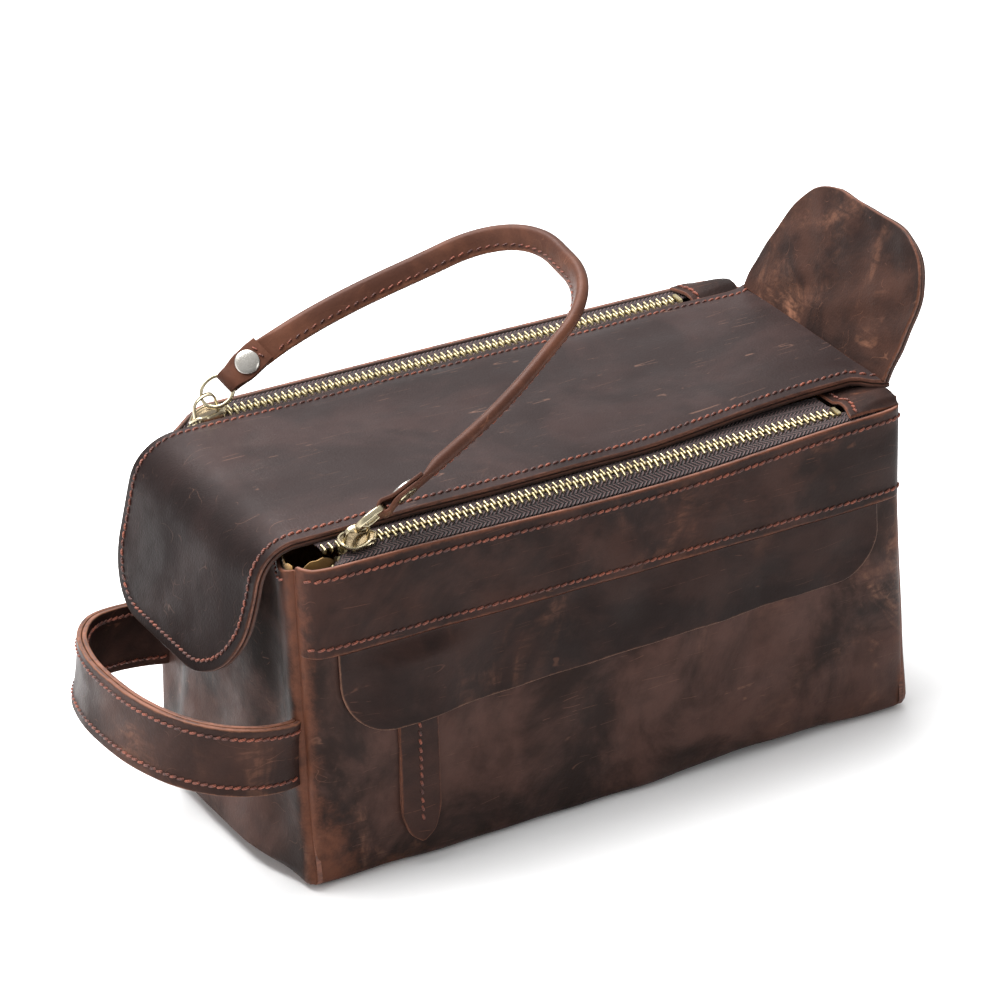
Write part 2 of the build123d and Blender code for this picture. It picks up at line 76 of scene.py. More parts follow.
SLIDER_X = -98.5
EYE = 4.9                       # the sliders' eyes, above the zips


# ---------------------------------------------------------------- mesh helpers
def unit(v):
    """Vectors, made one long."""
    return v / np.maximum(np.linalg.norm(v, axis=-1, keepdims=True), 1e-9)


def smooth(t):
    """0 up to t = 0, rising smoothly to 1 at t = 1."""
    t = np.clip(t, 0, 1)
    return t * t * (3 - 2 * t)


def bell(v, centre, width):
    """1 at a centre, falling smoothly to nothing on both sides."""
    return np.exp(-(((v - centre) / width) ** 2))


def settle(points):
    """The slump of a soft, filled bag: the rear rim stands higher than the front one, the lid slopes
    between them, the front rim sags, and the base swells to the right."""
    x, y, z = np.array(points, float).T
    high = smooth((z - 88) / 34)
    tilt = -0.8 + 0.042 * np.clip(y, -47, 47)
    rear = 7.0 * smooth((y - 44) / 22) * (1 - smooth((-x - 104) / 17))
    front = 1.7 * smooth((-y - 46.5) / 10)
    sag = smooth((-y - 54) / 7) * (2.4 * smooth((x - 30) / 85) - 2.0 * bell(x, 5, 60))
    corner = -5.0 * high * smooth((-x - 98) / 14) * smooth((y - 50) / 8)
    lift = 2.4 * smooth((22 - z) / 22) * bell(x, 62, 36) * smooth((-y - 38) / 16)
    swell = 2.2 * smooth((x - 60) / 60) * smooth((90 - z) / 70)
    return np.stack([x + swell, y, z + high * (tilt + rear + front + sag) + corner + lift], -1)


def listed(faces):
    return faces.tolist() if isinstance(faces, np.ndarray) else faces


class Part:
    """Points, faces, material slots and wear gathered for one mesh."""

    def __init__(self):
        self.points, self.faces, self.slots, self.wear, self.flat = [], [], [], [], []
        self.count = 0

    def add(self, points, faces, slot=0, wear=0.0, flat=None):
        points = np.asarray(points, float).reshape(-1, 3)
        self.points.append(points)
        self.faces += [[i + self.count for i in face] for face in listed(faces)]
        self.slots += [slot] * len(faces)
        self.wear.append(np.broadcast_to(wear, len(points)).astype(float))
        self.flat.append(points if flat is None else np.asarray(flat, float))
        self.count += len(points)
        return self

    def build(self, name, materials, body=None, sharp=48, closed=True, soft=True):
        mesh = bpy.data.meshes.new(name)
        points = np.concatenate(self.points)
        points = (settle(points) if soft else points) * MM
        mesh.from_pydata(points.tolist(), [], self.faces)
        for m in materials:
            mesh.materials.append(m)
        mesh.polygons.foreach_set("material_index", self.slots)
        if closed:
            work = bmesh.new()
            work.from_mesh(mesh)
            bmesh.ops.recalc_face_normals(work, faces=work.faces)
            work.to_mesh(mesh)
            work.free()
        mesh.polygons.foreach_set("use_smooth", [True] * len(mesh.polygons))
        mesh.set_sharp_from_angle(angle=math.radians(sharp))
        wear = mesh.attributes.new("wear", "FLOAT", "POINT")
        wear.data.foreach_set("value", np.concatenate(self.wear).astype(np.float32))
        flat = mesh.attributes.new("flat", "FLOAT_VECTOR", "POINT")
        flat.data.foreach_set("vector", (np.concatenate(self.flat) * MM).astype(np.float32).ravel())
        mesh.update()
        obj = bpy.data.objects.new(name, mesh)
        bpy.context.scene.collection.objects.link(obj)
        if body:
            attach(obj, body)
        return obj


def grid_faces(rows, columns, wrap=False):
    """Quads of a grid of points; with wrap, each row closes on itself."""
    i = np.arange(rows - 1)[:, None]
    j = np.arange(columns if wrap else columns - 1)[None]
    k = (j + 1) % columns
    low, high = i * columns, (i + 1) * columns
    return np.stack([low + j, low + k, high + k, high + j], -1).reshape(-1, 4)


def frames(surface, a, b):
    """Points of a surface with their outward normals."""
    step = 0.02
    across = surface(a + step, b) - surface(a - step, b)
    along = surface(a, b + step) - surface(a, b - step)
    return surface(a, b), unit(np.cross(across, along))


EDGE = np.array([0, 0.12, 0.32, 0.65, 1.3, 2.6])


def spread(length, count):
    """Positions from 0 to length, close together near both ends."""
    edge = EDGE * min(1.0, length / (3 * EDGE[-1]))
    middle = np.linspace(edge[-1], length - edge[-1], count)
    return np.concatenate([edge[:-1], middle, length - edge[-2::-1]])


def segment_distance(a, b, starts, ends):
    """Distance from flat points to the nearest of several segments."""
    p = np.stack([a, b], -1).reshape(-1, 1, 2)
    run = ends - starts
    t = ((p - starts) * run).sum(-1) / np.maximum((run ** 2).sum(-1), 1e-12)
    near = starts + np.clip(t, 0, 1)[..., None] * run
    return np.linalg.norm(p - near, axis=-1).min(1).reshape(a.shape)


def rounded_edge(away, reach):
    """How far a face falls near a rounded edge, at a distance from it."""
    return reach - np.sqrt(np.maximum(reach ** 2 - (reach - np.minimum(away, reach)) ** 2, 0))


def grid_rim(rows, columns):
    """The side faces of a doubled grid, all the way round its border."""
    last = (rows - 1) * columns
    ring = np.concatenate([np.arange(columns), np.arange(1, rows) * columns + columns - 1,
                           last + np.arange(columns - 2, -1, -1), np.arange(rows - 2, 0, -1) * columns])
    after, total = np.roll(ring, -1), rows * columns
    return np.stack([ring, after, after + total, ring + total], -1)


def add_shell(part, outer, inner, faces, rim, wear, flat, slots=(0, 2, 1)):
    """An outer face, an inner face behind it and a rim between them; slots are their materials."""
    start = np.array(part.count)
    part.add(np.concatenate([outer, inner]), faces, slots[0], np.concatenate([wear, wear]),
             np.concatenate([flat, flat]))
    for more, slot in ((faces[:, ::-1] + len(outer), slots[1]), (rim, slots[2])):
        part.faces += (more + start).tolist()
        part.slots += [slot] * len(more)
    return part


def sheet(part, surface, left, right, rows, count, thick, depth=0.0, sewn="", rounding=0.5):
    """A closed sheet of leather below a surface. Row b runs from left(b) to right(b).
    Borders named in sewn (l, r, first f, last e) are not raw, and keep square edges."""
    rows = np.asarray(rows, float)
    a = np.array([left(b) + spread(right(b) - left(b), count) for b in rows])
    b = np.repeat(rows[:, None], a.shape[1], 1)
    flat = np.stack([a, b], -1)
    borders = {"l": flat[:, 0], "r": flat[:, -1], "f": flat[0], "e": flat[-1]}
    starts = np.concatenate([v[:-1] for k, v in borders.items() if k not in sewn] or [np.full((1, 2), 1e3)])
    ends = np.concatenate([v[1:] for k, v in borders.items() if k not in sewn] or [np.full((1, 2), 1e3)])
    away = segment_distance(a, b, starts, ends)
    drop = rounded_edge(away, min(rounding, thick * 0.45))
    point, normal = frames(surface, a, b)
    outer = point - normal * (depth + drop)[..., None]
    inner = point - normal * (depth + thick - drop)[..., None]
    return add_shell(part, outer.reshape(-1, 3), inner.reshape(-1, 3),
                     grid_faces(*a.shape), grid_rim(*a.shape),
                     0.9 * np.exp(-away / 0.6).ravel(), np.stack([a, b, 0 * a], -1).reshape(-1, 3))


def run_of(line):
    """How far along a line each of its points is."""
    return np.concatenate([[0], np.cumsum(np.linalg.norm(np.diff(line, axis=0), axis=1))])


def resample(path, pitch, closed=False):
    """Evenly spaced points along a run of points, with their directions."""
    path = np.asarray(path, float)
    if closed:
        path = np.concatenate([path, path[:1]])
    at = run_of(path)
    count = max(2, int(round(at[-1] / pitch)))
    gap = at[-1] / count
    middle = (np.arange(count) + 0.5) * gap if closed or pitch > 1 else np.linspace(0, at[-1], count + 1)
    place = np.stack([np.interp(middle, at, path[:, k]) for k in range(path.shape[1])], -1)
    ahead = np.stack([np.interp(middle + 0.05, at, path[:, k]) for k in range(path.shape[1])], -1)
    behind = np.stack([np.interp(middle - 0.05, at, path[:, k]) for k in range(path.shape[1])], -1)
    return place, unit(ahead - behind)


def stitch_template(length, radius, lift):
    """One stitch: a short thread that rises out of its hole and goes down into the next."""
    stations = np.linspace(-1, 1, 9)
    angles = np.linspace(0, 2 * math.pi, 9)[:-1]
    size = radius * (1 - np.abs(stations) ** 4) ** 0.5
    height = lift * (1 - stations ** 4) - 0.75 * radius * np.abs(stations) ** 3
    rows = [np.stack([np.full(8, s * length / 2), r * np.cos(angles), h + r * np.sin(angles)], -1)
            for s, r, h in zip(stations, size, height)]
    return np.concatenate(rows), grid_faces(9, 8, wrap=True)


def place_stitches(part, points, normals, along, length=3.15, radius=0.5, lift=0.2, slant=17.0):
    """Copies of a stitch at points, each turned a little off the row."""
    shape, faces = stitch_template(length, radius, lift)
    along = unit(along - normals * (along * normals).sum(-1, keepdims=True))
    side = np.cross(normals, along)
    turn = math.radians(slant)
    forward = along * math.cos(turn) + side * math.sin(turn)
    across = np.cross(normals, forward)
    size = len(shape)
    verts = (points[:, None] + shape[None, :, :1] * forward[:, None]
             + shape[None, :, 1:2] * across[:, None] + shape[None, :, 2:] * normals[:, None])
    every = (faces[None] + np.arange(len(points))[:, None, None] * size).reshape(-1, 4)
    local = np.broadcast_to(shape[None], verts.shape).reshape(-1, 3)
    return part.add(verts.reshape(-1, 3), every, 0, 0.0, local)


def stitch_row(part, surface, path, pitch=3.05, closed=False, **look):
    """Stitches along a flat path on a surface."""
    flat, heading = resample(path, pitch, closed)
    point, normal = frames(surface, flat[:, 0], flat[:, 1])
    ahead = surface(*(flat + heading * 0.05).T) - surface(*(flat - heading * 0.05).T)
    return place_stitches(part, point, normal, unit(ahead), **look)


def sweep(part, line, side, up, section, slot=0, closed=False, wear=0.0):
    """Carry a closed section along a line; section's columns run along side and up."""
    section = np.asarray(section, float)
    if section.ndim == 2:
        section = np.broadcast_to(section, (len(line), *section.shape))
    points = (line[:, None] + section[..., :1] * side[:, None] + section[..., 1:] * up[:, None])
    n, k = points.shape[:2]
    faces = grid_faces(n, k, wrap=True).tolist()
    if closed:
        last = (n - 1) * k
        faces += [[last + j, last + (j + 1) % k, (j + 1) % k, j] for j in range(k)]
    base = part.count
    part.add(points.reshape(-1, 3), faces, slot, wear)
    if not closed:
        part.faces += [list(range(base, base + k)), list(range(base + (n - 1) * k, base + n * k))]
        part.slots += [slot, slot]
    return part


def rounded_box(width, height, radius, steps=5):
    """The outline of a rectangle with rounded corners, centred."""
    radius = min(radius, width / 2 - 1e-3, height / 2 - 1e-3)
    points = []
    for k, (sx, sy) in enumerate(((1, 1), (-1, 1), (-1, -1), (1, -1))):
        for t in np.linspace(0, math.pi / 2, steps):
            angle = k * math.pi / 2 + t
            points.append((sx * (width / 2 - radius) + radius * math.cos(angle),
                           sy * (height / 2 - radius) + radius * math.sin(angle)))
    return np.array(points)


def lathe(part, profile, origin, axis, slot=0, count=40):
    """A profile of (radius, height) turned round an axis."""
    axis = unit(np.asarray(axis, float))
    helper = np.array([1.0, 0, 0]) if abs(axis[0]) < 0.8 else np.array([0, 1.0, 0])
    first = unit(np.cross(axis, helper))
    second = np.cross(axis, first)
    angles = np.linspace(0, 2 * math.pi, count, endpoint=False)
    ring = np.cos(angles)[:, None] * first + np.sin(angles)[:, None] * second
    points = [np.asarray(origin) + r * ring + h * axis for r, h in profile]
    faces = grid_faces(len(profile), count, wrap=True).tolist()
    faces += [list(range(count)), list(range((len(profile) - 1) * count, len(profile) * count))]
    return part.add(np.concatenate(points), faces, slot)


def filleted(points, radii, step=1.5):
    """A polyline in a plane with its inner corners rounded, as closely spaced points."""
    points = [np.asarray(p, float) for p in points]
    line = [points[0]]
    for before, corner, after, radius in zip(points, points[1:], points[2:], radii):
        u, v = unit(before - corner), unit(after - corner)
        half = math.acos(np.clip(u @ v, -1, 1)) / 2
        reach = radius / math.tan(half)
        centre = corner + unit(u + v) * radius / math.sin(half)
        start, end = corner + u * reach - centre, corner + v * reach - centre
        turn = math.pi - 2 * half
        for t in np.linspace(0, 1, max(3, int(radius * turn / step))):
            line.append(centre + (start * math.sin((1 - t) * turn) + end * math.sin(t * turn)) / math.sin(turn))
    line.append(points[-1])
    return np.array(line)


# ---------------------------------------------------------------- materials
def srgb(*values):
    """A colour given as 0 to 255 values, made linear."""
    v = np.array(values) / 255
    return (*np.where(v <= 0.04045, v / 12.92, ((v + 0.055) / 1.055) ** 2.4).tolist(), 1.0)


DEPTH = 0.77                    # colours are drawn a little deeper, as the studio is bright
SHEEN = 0.155                   # the leathers' specular level


class Graph:
    """A material with a principled shader, and short calls to add nodes to it."""

    def __init__(self, name, **sockets):
        self.material = bpy.data.materials.new(name)
        self.material.use_nodes = True
        self.tree = self.material.node_tree
        self.tree.nodes.clear()
        out = self.tree.nodes.new("ShaderNodeOutputMaterial")
        self.shader = self.tree.nodes.new("ShaderNodeBsdfPrincipled")
        self.tree.links.new(self.shader.outputs[0], out.inputs[0])
        self.where = self.tree.nodes.new("ShaderNodeTexCoord").outputs["Object"]
        for key, value in sockets.items():
            self.set(key.replace("_", " "), value)

    def set(self, socket, value):
        self.put(self.shader.inputs[socket], value)

    def paint(self, colour):
        """The shader's colour, deepened for the bright studio."""
        self.set("Base Color", self.node("VectorMath", {0: colour, "Scale": DEPTH}, operation="SCALE"))

    def put(self, socket, value):
        if isinstance(value, bpy.types.NodeSocket):
            self.tree.links.new(value, socket)
        else:
            socket.default_value = value

    def node(self, kind, inputs=(), output=0, **settings):
        node = self.tree.nodes.new("ShaderNode" + kind)
        for key, value in settings.items():
            setattr(node, key, value)
        for key, value in dict(inputs).items():
            self.put(node.inputs[key], value)
        return node.outputs[output]

    def math(self, operation, *values, clamp=False):
        return self.node("Math", dict(enumerate(values)), operation=operation, use_clamp=clamp)

    def moved(self, scale=(1, 1, 1), place=(0, 0, 0), turn=(0, 0, 0), vector=None):
        return self.node("Mapping", {"Vector": vector or self.where, "Location": place,
                                     "Rotation": turn, "Scale": scale})

    def noise(self, scale, detail=4.0, vector=None, rough=0.55, distortion=0.0):
        return self.node("TexNoise", {"Vector": vector or self.where, "Scale": scale, "Detail": detail,
                                      "Roughness": rough, "Distortion": distortion})

    def cells(self, scale, vector=None, **settings):
        return self.node("TexVoronoi", {"Vector": vector or self.where, "Scale": scale}, **settings)

    def between(self, value, low, high, out_low=0.0, out_high=1.0):
        return self.node("MapRange", {"Value": value, "From Min": low, "From Max": high,
                                      "To Min": out_low, "To Max": out_high},
                         interpolation_type="SMOOTHSTEP")

    def mix(self, factor, first, second, blend="MIX"):
        node = self.tree.nodes.new("ShaderNodeMix")
        node.data_type = "RGBA"
        node.blend_type = blend
        self.put(node.inputs["Factor"], factor)
        self.put(node.inputs[6], first)
        self.put(node.inputs[7], second)
        return node.outputs[2]

    def value(self, name):
        return self.node("Attribute", output=2, attribute_name=name)

    def vector(self, name):
        return self.node("Attribute", output=1, attribute_name=name)

    def bump(self, height, strength, distance, normal=None):
        inputs = {"Height": height, "Strength": strength, "Distance": distance}
        if normal is not None:
            inputs["Normal"] = normal
        return self.node("Bump", inputs)


def leather(name, dark, middle, light, marks=0.6, seed=0.0, rough=(0.40, 0.60), grain=1.0, edge=None,
            cloud_scale=21.0, mark_low=0.53, scuffs=0.3, shade=None, gleam=(1.0, 0.76, 0.71, 1.0)):
    """Waxed pull-up leather: dark clouds, lighter rubbed marks with a brushed streak, fine scratches,
    a fine grain, and a lighter tone where the edges are rubbed."""
    g = Graph(name, Specular_IOR_Level=SHEEN, Specular_Tint=gleam)
    shift = (seed, seed * 0.7, -seed * 0.4)
    base = g.moved(place=shift)
    clouds = g.noise(cloud_scale, 7.0, base, 0.62, 0.6)
    colour = g.mix(g.between(clouds, 0.40, 0.62), dark, middle)
    rubbed = g.noise(30.0, 6.0, g.moved((1.0, 1.0, 0.62), shift, (0.25, 0.5, 0.2)), 0.62, 1.4)
    hair = g.noise(330.0, 4.0, g.moved((0.35, 0.35, 1.0), shift, (0.5, -0.75, 0.3)), 0.6, 1.0)
    patches = g.noise(11.0, 2.0, g.moved(place=(seed + 3.1, 0, 0)), 0.5, 0.3)
    rubbed = g.math("MULTIPLY", g.between(rubbed, mark_low, mark_low + 0.2), g.between(patches, 0.40, 0.62))
    brushed = g.math("MULTIPLY", rubbed, g.between(hair, 0.38, 0.62, 0.2, 1.0))
    colour = g.mix(g.math("MULTIPLY", brushed, marks), colour, light)
    grime = g.noise(75.0, 5.0, base, 0.6)
    colour = g.mix(g.between(grime, 0.42, 0.72, 0.0, 0.42), colour, dark)
    lines = []
    for turn, place in (((0.1, 0.5, 0.25), 0.3), ((0.3, -0.5, 1.3), 1.7), ((-0.4, 0.2, 2.3), 4.1)):
        field = g.noise(60.0, 0.0, g.moved((0.12, 2.2, 2.2), (seed + place, 0, 0), turn), 0.4)
        fine = g.between(g.math("ABSOLUTE", g.math("SUBTRACT", field, 0.5)), 0.0, 0.006, 1.0, 0.0)
        where = g.noise(85.0, 3.0, g.moved(place=(place, seed, 0)), 0.6)
        lines.append(g.math("MULTIPLY", fine, g.between(where, 0.56, 0.63)))
    scratch = g.math("MAXIMUM", g.math("MAXIMUM", *lines[:2]), lines[2])
    colour = g.mix(g.math("MULTIPLY", scratch, scuffs), colour, light)
    patchy = g.math("SUBTRACT", g.noise(110.0, 8.0, base, 0.75), 0.5)
    worn = g.math("ADD", g.value("wear"), g.math("MULTIPLY", patchy, 1.5))
    worn = g.math("MULTIPLY", g.between(worn, 0.25, 0.95), g.between(g.value("wear"), 0.02, 0.25))
    colour = g.mix(g.math("MULTIPLY", worn, 0.85), colour, edge or light)
    # painted shade: from start to end along the piece the colour and the sheen are scaled down, to least beyond end
    if shade:
        start, end, least = shade
        along = g.node("SeparateXYZ", {0: g.vector("flat")}, 1)
        level = g.between(along, start, end, 1.0, least)
        g.set("Specular IOR Level", g.math("MULTIPLY", level, SHEEN))
        colour = g.node("VectorMath", {0: colour, "Scale": level}, operation="SCALE")
    g.paint(colour)
    g.set("Roughness", g.between(g.noise(55.0, 5.0, base), 0.3, 0.7, *rough))
    pores = g.cells(1150.0, feature="SMOOTH_F1")
    fine = g.noise(3200.0, 3.0)
    soft = g.noise(95.0, 4.0, base)
    normal = g.bump(soft, 0.2, 0.0005)
    normal = g.bump(pores, 0.28 * grain, 0.00022, normal)
    normal = g.bump(fine, 0.30 * grain, 0.00010, normal)
    normal = g.bump(scratch, 0.25, 0.0001, normal)
    g.set("Normal", normal)
    return g.material


def raw_edge(name, dark, light):
    """The cut edge of leather: pale fibres in fine layers."""
    g = Graph(name)
    fibres = g.noise(900.0, 4.0, g.moved((0.25, 0.25, 1.0)), 0.6, 0.6)
    patches = g.noise(60.0, 3.0)
    tone = g.math("ADD", g.math("MULTIPLY", fibres, 0.6), g.math("MULTIPLY", patches, 0.4))
    g.paint(g.mix(g.between(tone, 0.38, 0.64), dark, light))
    g.set("Roughness", g.between(fibres, 0.3, 0.7, 0.62, 0.85))
    g.set("Normal", g.bump(fibres, 0.5, 0.0002))
    return g.material


def suede(name, dark, light):
    """The fleshy back of the leather."""
    g = Graph(name)
    fibres = g.noise(1400.0, 5.0, None, 0.7, 0.8)
    clouds = g.noise(40.0, 4.0)
    tone = g.math("ADD", g.math("MULTIPLY", fibres, 0.5), g.math("MULTIPLY", clouds, 0.5))
    g.paint(g.mix(g.between(tone, 0.36, 0.64), dark, light))
    g.set("Roughness", g.between(fibres, 0.3, 0.7, 0.78, 0.95))
    g.set("Normal", g.bump(fibres, 0.6, 0.0003))
    return g.material


def thread(name, dark, light):
    """Twisted, waxed thread: slanting plies, with painted shade in the grooves between them."""
    g = Graph(name)
    along, across = (g.node("SeparateXYZ", {0: g.vector("flat")}, k) for k in (0, 1))
    twist = g.math("ADD", g.math("MULTIPLY", along, 7000.0), g.math("MULTIPLY", across, 6000.0))
    twist = g.math("SINE", twist)
    shade = g.noise(220.0, 3.0)
    colour = g.mix(g.between(shade, 0.35, 0.65), dark, light)
    # painted shade: the colour darkens where the twist's bump is low, in the grooves between the plies
    g.paint(g.mix(g.between(twist, -1.0, 0.4, 0.5, 0.0), colour, dark))
    g.set("Roughness", g.between(shade, 0.3, 0.7, 0.45, 0.65))
    g.set("Normal", g.bump(twist, 0.7, 0.0001))
    return g.material


def herringbone(name, dark, light):
    """Zip tape: narrow columns of slanting ribs that turn back at each column's edge, with painted light on the
    ribs' crests and painted shade in their troughs and along the column edges.
    """
    g = Graph(name)
    place = g.vector("flat")
    along = g.node("SeparateXYZ", {0: place}, 0)
    across = g.node("SeparateXYZ", {0: place}, 1)
    column = g.math("PINGPONG", across, 0.0021)
    phase = g.math("ADD", g.math("MULTIPLY", along, 1.0), g.math("MULTIPLY", column, 1.15))
    ribs = g.math("SINE", g.math("MULTIPLY", phase, 2 * math.pi / 0.0017))
    edges = g.between(column, 0.0, 0.0003, 1.0, 0.0)
    strands = g.math("SINE", g.math("MULTIPLY", across, 2 * math.pi / 0.00045))
    # painted light and shade: the tone follows the ribs' bump, light on the crests and dark in the troughs, and the
    # column edges are drawn dark where the bump has a groove
    tone = g.between(ribs, -0.3, 0.95)
    colour = g.mix(tone, dark, light)
    colour = g.mix(g.math("MULTIPLY", edges, 0.6), colour, dark)
    fuzz = g.noise(900.0, 3.0)
    g.paint(g.mix(g.between(fuzz, 0.45, 0.8, 0.0, 0.3), colour, light))
    g.set("Roughness", g.between(fuzz, 0.3, 0.7, 0.6, 0.8))
    height = g.math("SUBTRACT", g.math("ADD", ribs, g.math("MULTIPLY", strands, 0.15)), edges)
    g.set("Normal", g.bump(height, 0.9, 0.0004))
    return g.material


def cloth(name, dark, light, pitch=0.0005):
    """Woven lining: threads over and under in two directions."""
    g = Graph(name)
    a, b = (g.node("SeparateXYZ", {0: g.vector("flat")}, k) for k in (0, 1))
    warp = g.math("SINE", g.math("MULTIPLY", a, 2 * math.pi / pitch))
    weft = g.math("SINE", g.math("MULTIPLY", b, 2 * math.pi / pitch))
    weave = g.math("MULTIPLY", warp, weft)
    clouds = g.noise(60.0, 4.0)
    colour = g.mix(g.between(clouds, 0.35, 0.65), dark, light)
    # painted shade: the weave's low points, where its bump dips, are drawn darker
    g.paint(g.mix(g.between(weave, -1.0, 1.0, 0.35, 0.0), colour, dark))
    g.set("Roughness", g.between(weave, -1.0, 1.0, 0.42, 0.6))
    g.set("Sheen Weight", 0.3)
    g.set("Normal", g.bump(weave, 0.5, 0.00012, g.bump(clouds, 0.4, 0.0008)))
    return g.material


def metal(name, bright, dull, rough=(0.18, 0.34), tarnish=0.55):
    """Plated metal with darker tarnish in patches and fine wear."""
    g = Graph(name, Metallic=1.0)
    patches = g.noise(240.0, 5.0, None, 0.6, 0.4)
    specks = g.noise(1500.0, 4.0)
    tone = g.math("MULTIPLY", g.between(patches, 0.46, 0.68), tarnish)
    tone = g.math("MAXIMUM", tone, g.math("MULTIPLY", g.value("wear"), 0.8))
    g.paint(g.mix(tone, bright, dull))
    mixed = g.math("ADD", g.math("MULTIPLY", patches, 0.6), g.math("MULTIPLY", specks, 0.4))
    g.set("Roughness", g.between(mixed, 0.35, 0.65, *rough))
    g.set("Normal", g.bump(specks, 0.12, 0.00008))
    return g.material


body_skin = leather("leather_body", srgb(33, 23, 20), srgb(80, 56, 49), srgb(146, 102, 82),
                    marks=0.9, seed=0.0, edge=srgb(112, 69, 51), rough=(0.44, 0.64))
# painted shade: the lid's colour and sheen are scaled down where the tongue hangs, at 238 to 262 mm from its right
# end
lid_skin = leather("leather_lid", srgb(40, 29, 28), srgb(54, 39, 37), srgb(124, 92, 78),
                   marks=0.3, seed=5.3, mark_low=0.60, scuffs=0.6, edge=srgb(112, 74, 60),
                   shade=(0.238, 0.262, 0.5), gleam=(1.0, 0.9, 0.88, 1.0))
pocket_skin = leather("leather_pocket", srgb(24, 17, 16), srgb(48, 32, 28), srgb(124, 84, 66),
                      marks=0.6, seed=4.6, edge=srgb(134, 98, 80), mark_low=0.51)
trim_skin = leather("leather_trim", srgb(30, 20, 18), srgb(60, 39, 33), srgb(136, 88, 66),
                    marks=0.6, seed=2.2, edge=srgb(114, 70, 52))
flap_skin = leather("leather_flap", srgb(34, 22, 19), srgb(66, 43, 35), srgb(146, 100, 78),
                    marks=0.9, seed=8.7, cloud_scale=26.0, mark_low=0.50, edge=srgb(116, 74, 56))
handle_skin = leather("leather_handle", srgb(40, 27, 24), srgb(66, 44, 37), srgb(140, 94, 72),
                      marks=0.4, seed=3.9)
strap_skin = leather("leather_strap", srgb(74, 46, 36), srgb(104, 66, 50), srgb(148, 98, 74),
                     marks=0.35, seed=1.4, rough=(0.36, 0.5), grain=0.7)
edge_raw = raw_edge("leather_edge", srgb(78, 46, 36), srgb(142, 92, 72))
edge_dark = raw_edge("leather_edge_dark", srgb(48, 30, 25), srgb(96, 62, 50))
back_suede = suede("leather_back", srgb(52, 34, 29), srgb(92, 64, 52))
thread_copper = thread("thread_copper", srgb(70, 32, 23), srgb(158, 84, 60))
tape_cloth = herringbone("zip_tape", srgb(20, 13, 14), srgb(102, 78, 77))
lining_gold = cloth("lining_cloth", srgb(150, 108, 44), srgb(206, 160, 82))
brass = metal("zip_brass", srgb(204, 190, 150), srgb(104, 86, 60), (0.28, 0.46))
brass_bright = metal("hardware_brass", srgb(212, 200, 168), srgb(112, 92, 64), (0.16, 0.30), 0.35)
nickel = metal("rivet_nickel", srgb(226, 222, 214), srgb(150, 140, 128), (0.16, 0.28), 0.3)

SKIN = [body_skin, edge_raw, back_suede]            # outer face, cut edge, inner face
TRIM = [trim_skin, edge_raw, back_suede]


# ---------------------------------------------------------------- camera, floor and light
VIEW_AZIMUTH, VIEW_ELEVATION, VIEW_ROLL = -28.93, 26.01, -1.44
VIEW_DISTANCE, VIEW_ACROSS, VIEW_UP = 1450.0, -11.47, 31.3
FOCAL, SENSOR = 141.9, 36.0
FLOOR_REACH, FLOOR_Z = 4000.0, -0.15


def make_camera():
    a, e, r = (math.radians(v) for v in (VIEW_AZIMUTH, VIEW_ELEVATION, VIEW_ROLL))
    back = np.array([math.sin(a) * math.cos(e), -math.cos(a) * math.cos(e), math.sin(e)])
    right = np.array([math.cos(a), math.sin(a), 0.0])
    up = np.cross(back, right)
    right, up = math.cos(r) * right + math.sin(r) * up, math.cos(r) * up - math.sin(r) * right
    place = np.array([0, 0, 60.0]) + back * VIEW_DISTANCE + right * VIEW_ACROSS + up * VIEW_UP
    camera = bpy.data.objects.new("camera", bpy.data.cameras.new("camera"))
    bpy.context.scene.collection.objects.link(camera)
    turn = np.eye(4)
    turn[:3, 0], turn[:3, 1], turn[:3, 2], turn[:3, 3] = right, up, back, place * MM
    camera.matrix_world = Matrix(turn.tolist())
    camera.data.lens = FOCAL
    camera.data.sensor_width = SENSOR
    camera.data.clip_start, camera.data.clip_end = 0.05, 50.0
    bpy.context.scene.camera = camera


def make_light(name, place, aim, size, power, shape="RECTANGLE"):
    data = bpy.data.lights.new(name, "AREA")
    data.shape = shape
    data.size, data.size_y = size
    data.energy = power
    lamp = bpy.data.objects.new(name, data)
    bpy.context.scene.collection.objects.link(lamp)
    lamp.location = place
    z = unit(np.array(place, float) - np.array(aim, float))
    x = unit(np.cross([0, 0, 1.0], z)) if abs(z[2]) < 0.99 else np.array([1.0, 0, 0])
    y = np.cross(z, x)
    lamp.rotation_euler = Matrix(np.stack([x, y, z], 1).tolist()).to_euler()


